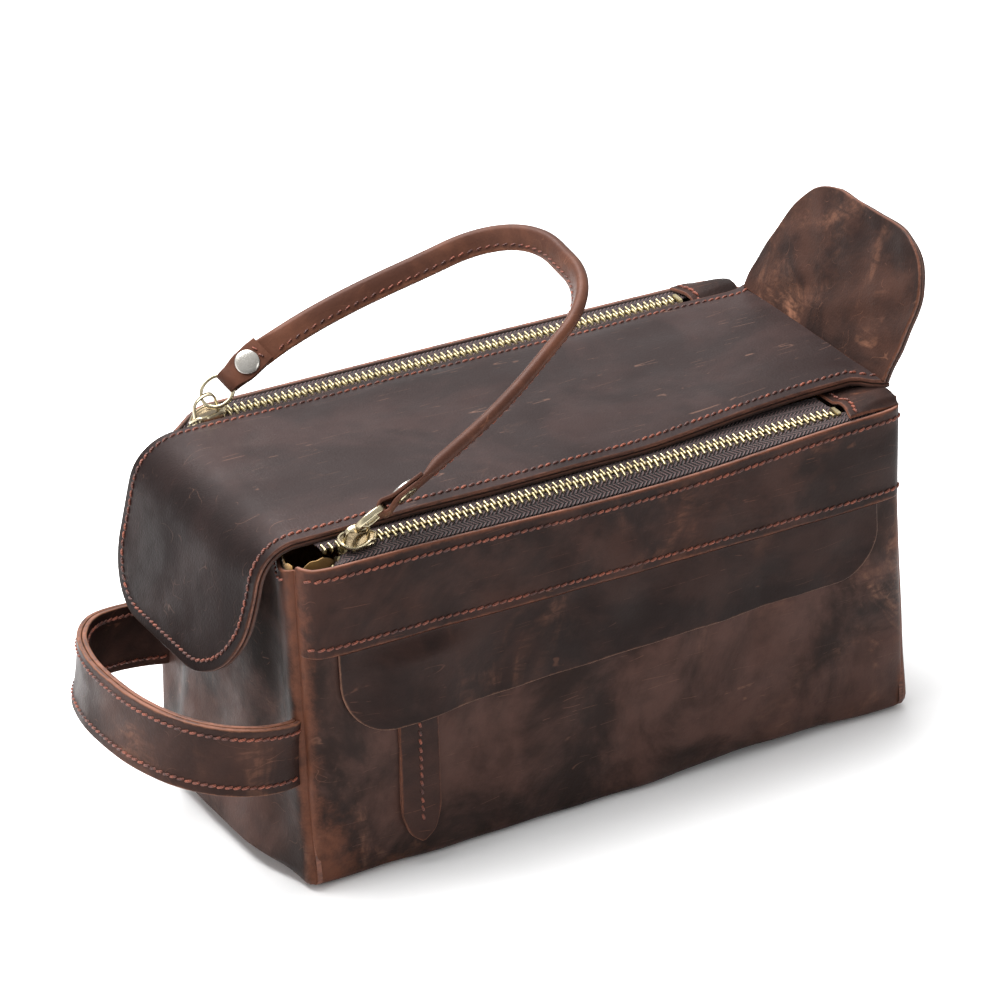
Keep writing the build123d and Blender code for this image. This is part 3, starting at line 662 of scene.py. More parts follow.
def make_studio():
    make_light("light_key", (-0.25, 0.42, 1.25), (0, 0, 0.05), (1.3, 1.0), 45.0)
    make_light("light_left", (-1.6, 0.0, 0.4), (0, 0, 0.06), (0.9, 1.0), 3.4)
    make_light("light_front", (0.5, -1.7, 1.0), (0, 0, 0.06), (0.8, 0.6), 3.9)
    world = bpy.data.worlds.new("studio")
    world.use_nodes = True
    tree = world.node_tree
    around = tree.nodes.new("ShaderNodeTexCoord").outputs["Generated"]
    facing = tree.nodes.new("ShaderNodeVectorMath")
    facing.operation = "DOT_PRODUCT"
    facing.inputs[1].default_value = (-0.25, 0.75, 0.62)
    tree.links.new(around, facing.inputs[0])
    level = tree.nodes.new("ShaderNodeMapRange")
    for socket, value in zip(("From Min", "From Max", "To Min", "To Max"), (-0.75, 0.55, 0.13, 0.94)):
        level.inputs[socket].default_value = value
    tree.links.new(facing.outputs["Value"], level.inputs["Value"])
    tree.links.new(level.outputs[0], tree.nodes["Background"].inputs[1])
    tree.nodes["Background"].inputs[0].default_value = (1.0, 1.0, 1.0, 1.0)
    bpy.context.scene.world = world
    corners = ((-1, -1), (1, -1), (1, 1), (-1, 1))
    floor = Part().add([(FLOOR_REACH * x, FLOOR_REACH * y, FLOOR_Z) for x, y in corners], [(0, 1, 2, 3)])
    g = Graph("floor_white", Roughness=0.8)
    g.set("Base Color", g.mix(g.noise(3.0), srgb(250, 250, 250), srgb(253, 253, 253)))
    floor.build("floor", [g.material], closed=False, soft=False)
    bpy.context.scene.view_settings.view_transform = "Standard"


make_camera()
make_studio()


# ---------------------------------------------------------------- the bag's walls
def ripple(u, v, size):
    """A gentle, irregular unevenness."""
    waves = ((0.011, 0.017, 0.4), (-0.016, 0.009, 2.1), (0.021, -0.027, 4.4), (0.034, 0.019, 5.6))
    return size / len(waves) * sum(np.sin(2 * math.pi * (fu * u + fv * v) + p) for fu, fv, p in waves)


def roll(x, run=18.0):
    """0 at the end seams, rising steeply to 1: the sides roll in to their seams."""
    t = np.clip((SEAM_X - np.abs(x)) / run, 0, 1)
    return (1 - (1 - t) ** 3) ** (1 / 3)


def seam_half(z):
    """How far the corner seams stand from the middle plane."""
    return 58.7 - 5.0 * np.clip(z / 125, 0, 1.1) + 2.4 * smooth((30 - z) / 30)


def wall_half(x, z, side):
    """How far a long wall stands from the middle plane away from the corners."""
    belly = 1.4 * bell(z, 46, 34) + 0.6 * bell(x, 0, 80) - 1.4 * smooth((16 - z) / 16)
    return HALF_DEPTH + belly + ripple(x, z * side, 0.9) * np.clip((118 - z) / 60, 0, 1)


def rim_half(x):
    """How far the bands' inner faces stand from the middle plane, where the zips are sewn in."""
    return seam_half(125) + (HALF_DEPTH + 0.4 - seam_half(125)) * roll(x) - 0.3


def wall(side, lift=0.0):
    """The outer face of a long wall as a surface of (x, z); side -1 is the front."""
    def surface(a, b):
        x = a if side < 0 else -a
        half = seam_half(b) + (wall_half(x, b, side) - seam_half(b)) * roll(x)
        raised = lift * (1 - 0.75 * smooth((np.abs(x) - SEAM_X + 4) / 4))
        return np.stack([x, side * (half + raised), b + 0 * a], -1)
    return surface


def trough(s, half_at, low, top):
    """A point of the U-shaped section: down the front, along the floor and up the back."""
    up = top - FOLD
    arc = FOLD * math.pi / 2
    floor = 2 * (FLOOR_HALF - FOLD)
    total = 2 * up + 2 * arc + floor
    t = np.where(s > total / 2, total - s, s)
    sign = np.where(s > total / 2, 1.0, -1.0)
    z = top - t * (top - low - FOLD) / up
    angle = np.clip((t - up) / FOLD, 0, math.pi / 2)
    base = half_at(low + FOLD + 0 * t, sign)
    level = base - FOLD
    y = np.where(t < up, half_at(z, sign), base - FOLD * (1 - np.cos(angle)))
    y = np.where(t > up + arc, level * (1 - (t - up - arc) / (floor / 2)), y)
    z = np.where(t < up, z, low + FOLD * (1 - np.sin(angle)))
    return sign * y, z


def trough_length(top):
    """The length of the U-shaped section."""
    return 2 * (top - FOLD) + FOLD * math.pi + 2 * (FLOOR_HALF - FOLD)


def wrap_surface(a, b):
    """The body wrap's outer face: a runs along the bag, b down the front, along the floor and up the back."""
    x = -a
    full_y, full_z = trough(b, lambda z, sign: wall_half(x, z, sign), 0.0, WRAP_TOP)
    seam_y, seam_z = trough(b, lambda z, sign: seam_half(z), SEAM_LOW, WRAP_TOP)
    e = roll(x)
    return np.stack([x, seam_y + (full_y - seam_y) * e, seam_z + (full_z - seam_z) * e], -1)


def end_run():
    """Positions along the bag, close together where the sides roll in."""
    near = np.array([0, 0.03, 0.12, 0.3, 0.6, 1.0, 1.6, 2.4, 3.4, 4.6, 6, 8, 10.5, 13.5, 17])
    middle = np.linspace(-SEAM_X + 21, SEAM_X - 21, 60)
    return np.concatenate([-SEAM_X + near, middle, SEAM_X - near[::-1]])


def rubbed_corner(a, b):
    """How far the leather is rubbed pale along the end seams and along the lower front edge at the left."""
    seam = 0.8 * np.exp(-(SEAM_X - np.abs(a)) / 4.0)
    low = 0.55 * np.exp(-((b - WRAP_TOP) / 6.0) ** 2) * smooth((a - 10) / 90)
    corner = 0.95 * np.exp(-((SEAM_X - a) / 17) ** 2 - ((b - WRAP_TOP) / 34) ** 2)
    return np.maximum(np.maximum(seam, low), corner).ravel()


def long_sheet(part, surface, columns, rows, thick, window=None):
    """A closed sheet given by its column and row positions, with an optional window cut out."""
    a, b = np.meshgrid(columns, rows)
    point, normal = frames(surface, np.clip(a, SEAM_GAP - SEAM_X, SEAM_X - SEAM_GAP), b)
    outer, inner = point.reshape(-1, 3), (point - normal * thick).reshape(-1, 3)
    faces = grid_faces(*a.shape)
    if window:
        middle = np.stack([a.ravel(), b.ravel()], -1)[faces].mean(1)
        x0, x1, b0, b1 = window
        faces = faces[~((middle[:, 0] > x0) & (middle[:, 0] < x1) & (middle[:, 1] > b0) & (middle[:, 1] < b1))]
    edges = np.concatenate([faces[:, [k, (k + 1) % 4]] for k in range(4)])
    known = {tuple(e) for e in edges.tolist()}
    border = np.array([(i, j) for i, j in edges.tolist() if (j, i) not in known])
    rim = np.stack([border[:, 1], border[:, 0], border[:, 0] + a.size, border[:, 1] + a.size], -1)
    wear = rubbed_corner(a, b)
    wear[border] = 0.6
    return add_shell(part, outer, inner, faces, rim, wear, np.stack([a, b, 0 * a], -1).reshape(-1, 3))


def flat_away(y, z, low=SEAM_LOW):
    """Distance inwards from the seam round an end panel."""
    half = seam_half(z)
    corner = seam_half(low + FOLD) - FOLD
    side = np.minimum(half - np.abs(y), z - low)
    into = FOLD - np.hypot(np.abs(y) - corner, low + FOLD - z)
    return np.where((np.abs(y) > corner) & (z < low + FOLD), into, side)


def end_half(z, low=SEAM_LOW):
    """Half of an end panel's width at a height, with rounded lower corners."""
    z = np.asarray(z, float)
    corner = seam_half(low + FOLD) - FOLD
    rise = np.clip((low + FOLD - z) / FOLD, 0, 1)
    return np.where(z < low + FOLD, corner + FOLD * np.sqrt(1 - rise ** 2), seam_half(z))


def end_panel(end, inset=0.0):
    """The outer face of an end panel as a surface of (across, z); end -1 is the left."""
    def surface(a, b):
        y = a if end > 0 else -a
        away = np.maximum(flat_away(y, b), 0)
        rise = (1 - (1 - np.clip(away / 6.0, 0, 1)) ** 3) ** (1 / 3)
        out = 3.3 * rise - inset
        if end < 0:
            swell = smooth((seam_half(b) - np.abs(y)) / 34) * smooth((b - SEAM_LOW) / 6)
            out = out + 8.5 * swell * bell(b, 6, 36)
            out = out - 3.4 * bell(away, 17, 9) * np.clip(b / 60, 0.25, 1) + 0.8 * smooth((away - 22) / 20)
            out = out - 6.0 * bell(y, 4, 30) * smooth((b - 70) / 45)
            out = out - 0.9 * bell(b + 0.06 * y, 23, 3.5) * smooth(away / 12)
        else:
            out = out + 4.2 * smooth(away / 26) * bell(b, 38, 42) - 3.0 * bell(y, 0, 34) * smooth((b - 80) / 40)
        out = out + ripple(y * 1.2, b * 1.0, 0.6) * smooth(away / 10)
        lift = 4.2 * smooth((b - 110) / 14) * bell(np.abs(y), 53, 9) if end > 0 else 0
        return np.stack([end * (SEAM_X + out), y + 0 * b, b + lift + 0 * a], -1)
    return surface


def build_body():
    length = trough_length(WRAP_TOP)
    front = WRAP_TOP - np.array([119, 110, 100, 92, 88, 80.5, 71.5, 64, 56, 48, 40, 32, 24, 16, 8.0])
    arc = WRAP_TOP - FOLD + np.linspace(0, FOLD * math.pi / 2, 8)[1:]
    floor = np.linspace(arc[-1], length - arc[-1], 14)[1:]
    rows = np.concatenate([front, arc, floor, (length - arc[::-1])[1:], (length - front[::-1])])
    columns = np.sort(np.concatenate([-end_run(), [98.0, -101.0]]))
    window = (-101.5, 98.5, WRAP_TOP - 80.6, WRAP_TOP - 71.4)
    wrap = long_sheet(Part(), wrap_surface, columns, rows, LEATHER, window)
    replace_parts(wrap.build("wrap_leather", SKIN, "root"), "body_wrap")
    for name, end in (("left", -1), ("right", 1)):
        z = np.concatenate([SEAM_LOW + np.array([0, 0.1, 0.4, 0.9, 1.6, 2.6, 4, 6]),
                            np.linspace(12, PANEL_TOP - 3, 46), PANEL_TOP - np.array([1.2, 0.5, 0.2, 0])])
        panel = sheet(Part(), end_panel(end), lambda b: -end_half(b) - SEAM_LIP, lambda b: end_half(b) + SEAM_LIP,
                      z, 56, LEATHER, sewn="lrf")
        away = np.maximum(flat_away(*panel.flat[0][:, :2].T), 0)
        panel.wear = [np.maximum(panel.wear[0], 0.8 * np.exp(-away / 3.5))]
        panel = panel.build(name + "_gusset", SKIN, "root")
        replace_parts(panel, name + "_end_panel")
        hem = stitch_row(Part(), end_panel(end), [(-seam_half(120) + 2.5, PANEL_TOP - 3.6),
                                                  (seam_half(120) - 2.5, PANEL_TOP - 3.6)])
        hem.build(name + "_gusset_stitches", [thread_copper], "root")
    for name, side in (("front", -1), ("back", 1)):
        z = np.concatenate([BAND_LOW + np.array([0, 0.12, 0.32, 0.65, 1.3, 2.6]),
                            np.linspace(BAND_LOW + 5, BAND_HIGH - 5, 12),
                            BAND_HIGH - np.array([2.6, 1.3, 0.65, 0.32, 0.12, 0])])
        band = banded(side, z)
        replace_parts(band.build(name + "_mouth_band", TRIM, "root"), name + "_band")
        seams = Part()
        for height in (BAND_HIGH - 4.0, BAND_LOW + 3.6):
            run = [(x, height) for x in end_run()[4:-4]]
            stitch_row(seams, wall(side, BAND_LIFT), run)
        seams.build(name + "_band_stitches", [thread_copper], "root")


def banded(side, rows):
    """A band over the wall, its raw long edges rounded, its ends sewn into the corner seams."""
    surface = wall(side, BAND_LIFT)
    a, b = np.meshgrid(np.clip(end_run(), SEAM_GAP - SEAM_X, SEAM_X - SEAM_GAP), rows)
    away = np.minimum(b - rows[0], rows[-1] - b)
    drop = rounded_edge(away, 0.5)
    point, normal = frames(surface, a, b)
    outer = (point - normal * drop[..., None]).reshape(-1, 3)
    inner = (point - normal * (LEATHER - drop)[..., None]).reshape(-1, 3)
    wear = np.maximum(0.9 * np.exp(-away / 1.1), 0.7 * np.exp(-(SEAM_X - np.abs(a)) / 3.5)).ravel()
    return add_shell(Part(), outer, inner, grid_faces(*a.shape), grid_rim(*a.shape), wear,
                     np.stack([a, b, 0 * a], -1).reshape(-1, 3))


build_body()


# ---------------------------------------------------------------- lid, tongue and end flap
LID_RUN = LID_RIGHT - TONGUE_X                      # flat length from the right end to the bend
BEND = math.radians(75)                             # the tongue stands a little away from the bag
BEND_RUN = TONGUE_R * BEND
HANG = (LID_Z - TONGUE_R * (1 - math.cos(BEND)) - TONGUE_LOW) / math.sin(BEND)
LID_LENGTH = LID_RUN + BEND_RUN + HANG
SPLIT_X = -58.0                                     # where the lid's mesh changes hands, in a flat stretch


def lid_surface(a, b):
    """The lid's upper face: a runs across, b from the right end along the top and down the tongue."""
    angle = np.clip((b - LID_RUN) / TONGUE_R, 0, BEND)
    down = np.maximum(b - LID_RUN - BEND_RUN, 0)
    x = LID_RIGHT - np.minimum(b, LID_RUN) - TONGUE_R * np.sin(angle) - down * math.cos(BEND)
    z = LID_Z - TONGUE_R * (1 - np.cos(angle)) - down * math.sin(BEND)
    top = np.clip(1 - angle, 0, 1)
    fall = np.where(a > 0, 1.7, 0.9)
    crown = 0.5 * (1 - (a / LID_HALF) ** 2) + ripple(a * 1.3, b * 0.6, 0.5) - fall * smooth((np.abs(a) - 36) / 12)
    x = x + 2.6 * smooth((-a - 18) / 30) * smooth((b - LID_RUN - 4) / 30)
    drawn = smooth((115 - b) / 85) * smooth((b - 1) / 12) * smooth((-a - 12) / 35)
    return np.stack([x, a + 6.0 * drawn, z + crown * top * smooth(b / 8) + 1.6 * drawn], -1)


CORNERS = {-1: 31.0, 1: 24.0}                       # radii of the tongue's front and rear lower corners


def lid_edge(side):
    """One long edge of the lid, drawn in round the tongue's lower corner."""
    radius = CORNERS[side]

    def edge(b):
        rise = np.clip((radius - (LID_LENGTH - b)) / radius, 0, 1)
        return side * (LID_HALF - radius + radius * np.sqrt(np.maximum(1 - rise ** 2, 0)))
    return edge


def lid_outline(inset, first):
    """The sewn line round the lid, from one long edge round the tongue to the other."""
    halves = []
    for side, radius in CORNERS.items():
        corner = LID_LENGTH - radius
        half = [(side * (LID_HALF - inset), b) for b in np.linspace(first, corner, 60)]
        for t in np.linspace(0, math.pi / 2, 16)[1:]:
            away = (radius - inset) * math.cos(t)
            half.append((side * (LID_HALF - radius + away), corner + (radius - inset) * math.sin(t)))
        halves.append(half)
    return halves[0] + halves[1][::-1]


def fold(piece, right_body, left_body, x, reach):
    """Bake a piece of the lid's placement into its mesh; right_body, left_body, x and reach are not used."""
    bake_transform(piece)


def build_lid():
    split = LID_RIGHT - SPLIT_X
    bend = np.linspace(LID_RUN, LID_RUN + BEND_RUN, 16)
    tip = LID_LENGTH - 31 * (1 - np.sin(np.linspace(0, math.pi / 2, 20)[1:-1]))
    tail = LID_LENGTH - np.array([0.3, 0.12, 0])
    right_rows = np.concatenate([[0, 0.12, 0.32, 0.65, 1.3, 2.6], np.linspace(6, split, 50)])
    left_rows = np.concatenate([np.linspace(split, LID_RUN - 3, 16), bend,
                                np.linspace(bend[-1] + 2, LID_LENGTH - 32, 5), tip, tail])
    left_rows = np.unique(np.round(left_rows, 4))
    for name, layer, depth, thick in (("outer", 0, 0.0, LID_LAYER), ("inner", 1, 1.85, 1.65)):
        skin = [lid_skin, edge_raw if layer == 0 else edge_dark, back_suede]
        right = sheet(Part(), lid_surface, lid_edge(-1), lid_edge(1), right_rows, 40, thick, depth, sewn="ef")
        right = right.build("lid_top_" + name, skin)
        fold(right, "root", "lid", LID_BEND, 8)
        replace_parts(right, "lid_" + name, "lid_end_" + name)
        left = sheet(Part(), lid_surface, lid_edge(-1), lid_edge(1), left_rows, 40, thick, depth, sewn="f")
        left = left.build("lid_tongue_" + name, skin)
        fold(left, "lid", "tongue", TONGUE_X, 9)
        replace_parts(left, "tongue_" + name)
    right = Part()
    for sign in (-1, 1):
        stitch_row(right, lid_surface, [(sign * (LID_HALF - 4.0), b) for b in np.linspace(2.5, split, 60)])
    fold(right.build("lid_stitches", [thread_copper]), "root", "lid", LID_BEND, 8)
    left = stitch_row(Part(), lid_surface, lid_outline(4.0, split))
    fold(left.build("tongue_stitches", [thread_copper]), "lid", "tongue", TONGUE_X, 9)


FLAP_LEAN = math.radians(23.6)
FLAP_AXIS = (125.3, 134.2)      # x and z of the fold
FLAP_THICK = 3.3                # both layers
FLAP_HALF, FLAP_LENGTH, FLAP_CORNER = 49.5, 50.5, 24.0


def flap_surface(a, b):
    """The end flap's inner, left-hand face: a runs across, b up from the fold."""
    bow = 1.6 * smooth(b / 52) * (np.abs(a) / FLAP_HALF) ** 2 + ripple(a * 1.6, b * 2.0, 0.8) * smooth(b / 12)
    x = FLAP_AXIS[0] + b * math.sin(FLAP_LEAN) - (FLAP_THICK + bow) * math.cos(FLAP_LEAN)
    z = FLAP_AXIS[1] + b * math.cos(FLAP_LEAN) + (FLAP_THICK + bow) * math.sin(FLAP_LEAN)
    return np.stack([x, -a - 3.0 * smooth(b / 25), z], -1)


def flap_half(b):
    """Half of the end flap's width at a distance up from the fold."""
    rise = np.clip((FLAP_CORNER - (FLAP_LENGTH - b)) / FLAP_CORNER, 0, 1)
    return FLAP_HALF - FLAP_CORNER + FLAP_CORNER * np.sqrt(np.maximum(1 - rise ** 2, 0)) - 1.5 * smooth(1 - b / 16)


def flap_front(b):
    """The front edge leans in a little."""
    return flap_half(b) - 1.8 * smooth(b / 30)


def flap_rear(b):
    """The rear edge leans in towards the top."""
    return flap_half(b) - 2.0 - 9.0 * smooth(b / 42)


def build_end_flap():
    tip = FLAP_LENGTH - FLAP_CORNER * (1 - np.sin(np.linspace(0, math.pi / 2, 16)[1:-1]))
    foot = [-1.9, -1.6, -1.2, -0.5, 0.5, 2, 3.5]
    rows = np.concatenate([foot, np.linspace(6, FLAP_LENGTH - FLAP_CORNER - 1, 14), tip,
                           FLAP_LENGTH - np.array([0.3, 0.12, 0])])
    for name, depth, skin in (("inner", 0.0, [flap_skin, edge_raw, back_suede]),
                              ("outer", 1.7, [back_suede, edge_dark, flap_skin])):
        piece = sheet(Part(), flap_surface, lambda b: -flap_rear(b), flap_front, rows, 40, 1.6, depth)
        piece = piece.build("end_flap_leather_" + name, skin, "end_flap")
        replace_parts(piece, "end_flap_" + name)


build_lid()
build_end_flap()


# ---------------------------------------------------------------- main zips
ANCHOR = 8.0                    # the body-side tape is sewn behind the band this far from the teeth
LEG = 5.0                       # and goes down this far behind it
TAPE_FACE = 0.25                # the tapes' upper faces, above the zip's middle


def mirrored(points, side):
    """Front points as they are, or their mirror image for the rear."""
    points = np.asarray(points, float).copy()
    if side > 0:
        points[..., 1] *= -1
    return points


def lid_zip(x, inward, height, side):
    """A point beside the lid's half of a zip; inward is measured from the zip's middle."""
    flat = 4.0
    w = np.minimum(inward, flat)
    y = -ZIP_Y + w * math.cos(ZIP_TILT) + np.maximum(inward - flat, 0) - height * math.sin(ZIP_TILT)
    z = ZIP_Z + w * math.sin(ZIP_TILT) + height * math.cos(ZIP_TILT)
    return mirrored(np.stack([x + 0 * z, y, z], -1), side)


def body_zip(x, outward, height, side):
    """A point beside the body's half of a zip, which curls down into the bag past the parked slider."""
    fall = math.radians(96) * smooth((-99.5 - x) / 16)
    turn = ZIP_TILT - fall
    anchor_y = -np.minimum(ZIP_Y + ANCHOR * math.cos(ZIP_TILT), rim_half(x))
    anchor_z = ZIP_Z - ANCHOR * math.sin(ZIP_TILT)
    reach = np.maximum(ANCHOR - outward, 0)
    leg = np.maximum(outward - ANCHOR, 0)
    y = anchor_y + reach * np.cos(turn) - height * np.sin(turn) * (leg == 0)
    z = anchor_z + reach * np.sin(turn) + height * np.cos(turn) * (leg == 0) - leg
    return mirrored(np.stack([x + 0 * z, y, z], -1), side)


def tooth_shape(root=2.9, tip=-0.8, half_height=1.25, half_width=0.6):
    """One metal tooth: a head with a nib, a narrower neck and a foot clamped on the tape's cord."""
    stations = ((tip, 0.30, 0.45), (tip + 0.12, 0.72, 0.80), (tip + 0.9, 1.0, 1.0), (tip + 1.5, 0.80, 0.92),
                (root - 1.1, 0.86, 0.95), (root - 0.15, 1.0, 1.0), (root, 0.7, 0.7))
    ring = rounded_box(2.0, 2.0, 0.75, 4)
    rows = [np.stack([ring[:, 0] * w * half_width, np.full(len(ring), u), ring[:, 1] * h * half_height], -1)
            for u, w, h in stations]
    count = len(ring)
    faces = grid_faces(len(stations), count, wrap=True).tolist()
    last = (len(stations) - 1) * count
    faces += [list(range(count)), list(range(last, last + count))]
    return np.concatenate(rows), faces


def add_teeth(part, places, where, shape):
    """A row of teeth at some places along a zip; where puts (along, across, up) points on the bag."""
    verts, faces = shape
    for x in places:
        part.add(where(verts[:, 0] + x, verts[:, 1], verts[:, 2]), faces)
    return part


def build_main_zips():
    shape = tooth_shape()
    first = ZIP_RIGHT - 0.65
    body_places = np.arange(first, -116.5, -PITCH)
    lid_places = np.arange(first - PITCH / 2, -111.0, -PITCH)
    edge = [0.75, 1.0, 1.6]
    body_rows = np.concatenate([edge, np.linspace(2.6, ANCHOR - 0.6, 8), ANCHOR + np.linspace(-0.3, LEG, 7)])
    lid_rows = np.concatenate([edge, np.linspace(2.4, 15.0, 14)])
    for name, side in (("front", -1), ("rear", 1)):
        sign = -side                # keeps the sheets' outer faces upwards on both sides
        for half, body, place, turn, left, right, rows, count in (
                ("body", "root", body_zip, -sign, 110.0, 117.0, body_rows, 110),
                ("lid", "lid", lid_zip, sign, 111.0, 98.0, lid_rows, 90)):
            low, high = (-left, right) if sign > 0 else (-right, left)
            tape = sheet(Part(), lambda a, b: place(turn * a, b, TAPE_FACE, side), lambda b: low, lambda b: high,
                         rows, count, CLOTH, rounding=0.2)
            tape = tape.build(f"{name}_tape_{half}", [tape_cloth] * 3, body)
            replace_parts(tape, f"{name}_zip_tape_{half}")
        for half, body, place, teeth in (
                ("body", "root", body_zip, body_places), ("lid", "lid", lid_zip, lid_places)):
            row = add_teeth(Part(), teeth, lambda x, u, h: place(x, u, h, side), shape)
            row = row.build(f"{name}_teeth_{half}", [brass], body, sharp=35)
            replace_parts(row, f"{name}_zip_teeth_{half}")
    stops = Part()
    for side in (-1, 1):
        block = rounded_box(6.0, 2.9, 0.9)
        line = np.array([[ZIP_RIGHT + v, 0, 0] for v in (0.6, 0.8, 2.2, 2.4)])
        scale = np.array([0.8, 1.0, 1.0, 0.8])[:, None, None]
        local = Part()
        sweep(local, line, np.tile([0.0, 1, 0], (4, 1)), np.tile([0.0, 0, 1], (4, 1)), block[None] * scale)
        stops.add(mirrored(zip_flat(np.concatenate(local.points)), side), local.faces)
    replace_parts(stops.build("zip_stops", [brass], "root"), "zip_end_stops")


def zip_flat(points):
    """Put points drawn beside a flat front zip (x, inward, up) in their place."""
    x, y, z = np.asarray(points, float).T
    c, s = math.cos(ZIP_TILT), math.sin(ZIP_TILT)
    return np.stack([x, -ZIP_Y + y * c - z * s, ZIP_Z + y * s + z * c], -1)


PATCH_END = 121.2


def build_end_patches():
    """The pieces that cover the zips' right-hand ends."""
    for name, side in (("front", -1), ("rear", 1)):
        sign = -side

        def surface(a, b):
            x = sign * a
            height = 1.75 + 1.3 * bell(x, 112, 12) * bell(b, 1.0, 8) - 0.9 * smooth((b - 3) / 6)
            height = height + 0.6 * smooth((x - 104) / 16) * smooth((b + 7) / 7)
            height = height - 1.3 * smooth((x - 103) / 12) * smooth((-b - 3) / 4)
            slope = np.minimum(b, 4.0)
            y = -ZIP_Y + slope * math.cos(ZIP_TILT) + (b - slope) - height * math.sin(ZIP_TILT)
            z = ZIP_Z + slope * math.sin(ZIP_TILT) + height * math.cos(ZIP_TILT)
            narrow = rim_half(np.minimum(x, SEAM_X - 0.02)) / rim_half(0)
            y = np.where(b < 0, -ZIP_Y + (y + ZIP_Y) * np.clip(1 - (1 - narrow) * 4.5, 0.2, 1), y)
            return mirrored(np.stack([x + 0 * y, y, z], -1), side)

        def bite(b):
            """The sewn edge of the patch, across the ends of the tapes."""
            return 98.3 + 2.2 * smooth((b + 8) / 9)

        left = bite if sign > 0 else lambda b: -PATCH_END
        right = (lambda b: PATCH_END) if sign > 0 else lambda b: -bite(b)
        rows = np.concatenate([[-7.9, -7.75, -7.5, -7.0], np.linspace(-6, 17.4, 26), [18.0, 18.5, 18.8]])
        patch = sheet(Part(), surface, left, right, rows, 22, 1.5).build(name + "_patch", TRIM, "root")
        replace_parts(patch, "end_patch_" + name)
        seam = [(sign * (bite(b) + 3.0), b) for b in np.linspace(-7.0, 14.0, 36)]
        seam = stitch_row(Part(), surface, seam, pitch=3.1)
        seam.build(name + "_patch_stitches", [thread_copper], "root")


def plate(part, outline, levels, slot=0, worn_from=99):
    """A flat plate of a given outline: each level is how far the outline is drawn in, and a height."""
    outline = np.asarray(outline, float)
    centre = (outline.min(0) + outline.max(0)) / 2
    size = (outline.max(0) - outline.min(0)) / 2
    rows = []
    for inset, height in levels:
        scale = np.maximum((size - inset) / size, 0.02)
        rows.append(np.concatenate([centre + (outline - centre) * scale, np.full((len(outline), 1), height)], 1))
    count = len(outline)
    faces = grid_faces(len(rows), count, wrap=True).tolist()
    last = (len(rows) - 1) * count
    faces += [list(range(count)), list(range(last, last + count))]
    worn = np.repeat(np.arange(len(rows)) >= worn_from, count)
    return part.add(np.concatenate(rows), faces, slot, worn)


def add_bridge(part, arch, section):
    """The bridge over a slider: a bar swept along an arch of x and z."""
    line = np.stack([arch[:, 0], 0 * arch[:, 0], arch[:, 1]], -1)
    side = np.tile([0.0, 1.0, 0.0], (len(line), 1))
    return sweep(part, line, side, np.cross(unit(np.gradient(line, axis=0)), side), section)


def slider_shape(width, length, gap, thick, eye, tail=0.74):
    """A slider for a zip lying flat: shield-shaped plates, flanges, a post and an arched bridge."""
    half = length / 2
    nose = [(-half + width - width * math.sin(t), width * math.cos(t)) for t in np.linspace(0, math.pi, 21)]
    back = [(half * 0.1, -width * 0.93), (half * 0.4, -width * 0.80), (half * 0.7, -width * tail),
            (half * 0.98, -width * tail * 0.98), (half * 1.06, -width * tail * 0.6), (half * 1.26, 0.0)]
    outline = nose + back + [(x, -y) for x, y in back[-2::-1]]
    part = Part()
    top = gap + thick
    plate(part, outline, [(0.4, gap), (0, gap + 0.1), (0, top - 0.25), (0.2, top), (0.75, top), (1.0, top - 0.4),
                          (2.4, top - 0.45)], worn_from=5)
    plate(part, outline, [(0.4, -gap), (0, -gap - 0.1), (0, -top + 0.3), (0.35, -top)])
    for side in (-1, 1):
        for low, high in ((0.65, gap + 0.2), (-gap - 0.2, -0.65)):
            rail = [(-half * 0.5, side * (width - 0.75)), (half * 0.8, side * (width * 0.8 - 0.55)),
                    (half * 0.8, side * width * 0.8), (-half * 0.5, side * width)]
            plate(part, rail, [(0.05, low), (0, low + 0.05), (0, high)])
    plate(part, rounded_box(1.8, 0.7, 0.3) + np.array([-half + 1.8, 0]), [(0, -gap), (0, gap)])
    arch = [(-4.3, top - 0.4), (-3.9, eye + 2.0), (-0.5, eye + 3.0), (4.2, eye + 2.2), (4.9, top - 0.4)]
    return add_bridge(part, filleted(arch, [2.4, 9.0, 2.4], 0.5), rounded_box(1.8, 0.9, 0.35))


def placed(part, where):
    """Move a part's points with a function, keeping its own coordinates for the materials."""
    part.flat = [np.concatenate(part.points)]
    part.points = [where(np.concatenate(part.points))]
    return part


def build_sliders():
    for name, side in (("front", -1), ("rear", 1)):
        body = slider_shape(5.2, 13.0, 1.6, 1.0, EYE, 0.6)
        shift = SLIDER_X - (3.5 if side > 0 else 0)
        body = placed(body, lambda p: mirrored(zip_flat(p + np.array([shift, 0, 0])), side))
        body = body.build(name + "_slider", [brass_bright], "slider_" + name, sharp=28)
        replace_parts(body, "zip_slider_" + name)


build_main_zips()
build_end_patches()
build_sliders()


# ---------------------------------------------------------------- wrist strap
STRAP_LEAN = math.radians(25.7)
STRAP_ROLL = math.radians(45)
ARCH = ((24.0, -55.28), (66, -51), (121, -31), (129, 32), (67, 52), (24.0, 55.28))
ARCH_FILLETS = (150, 36, 36, 150)
RING_AT = 5.6                   # the ring's and the rivet's places along the strap, from the slider's eye
RIVET_AT = 20.5
E_UP = np.array([math.cos(STRAP_LEAN), 0, math.sin(STRAP_LEAN)])
E_REAR = np.array([0, 1.0, 0])
E_OFF = np.array([-math.sin(STRAP_LEAN), 0, math.cos(STRAP_LEAN)])
REAR_RISE = ((0, 8.6), (15, 8.8), (35, 6.6), (60, 4.2), (85, 3.2), (110, 2.6), (140, 1.0), (170, 0))
EYE_POINT = np.array([SLIDER_X + 0.5, 0, ZIP_Z + EYE * math.cos(ZIP_TILT)])
EYE_Y = ZIP_Y + EYE * math.sin(ZIP_TILT)


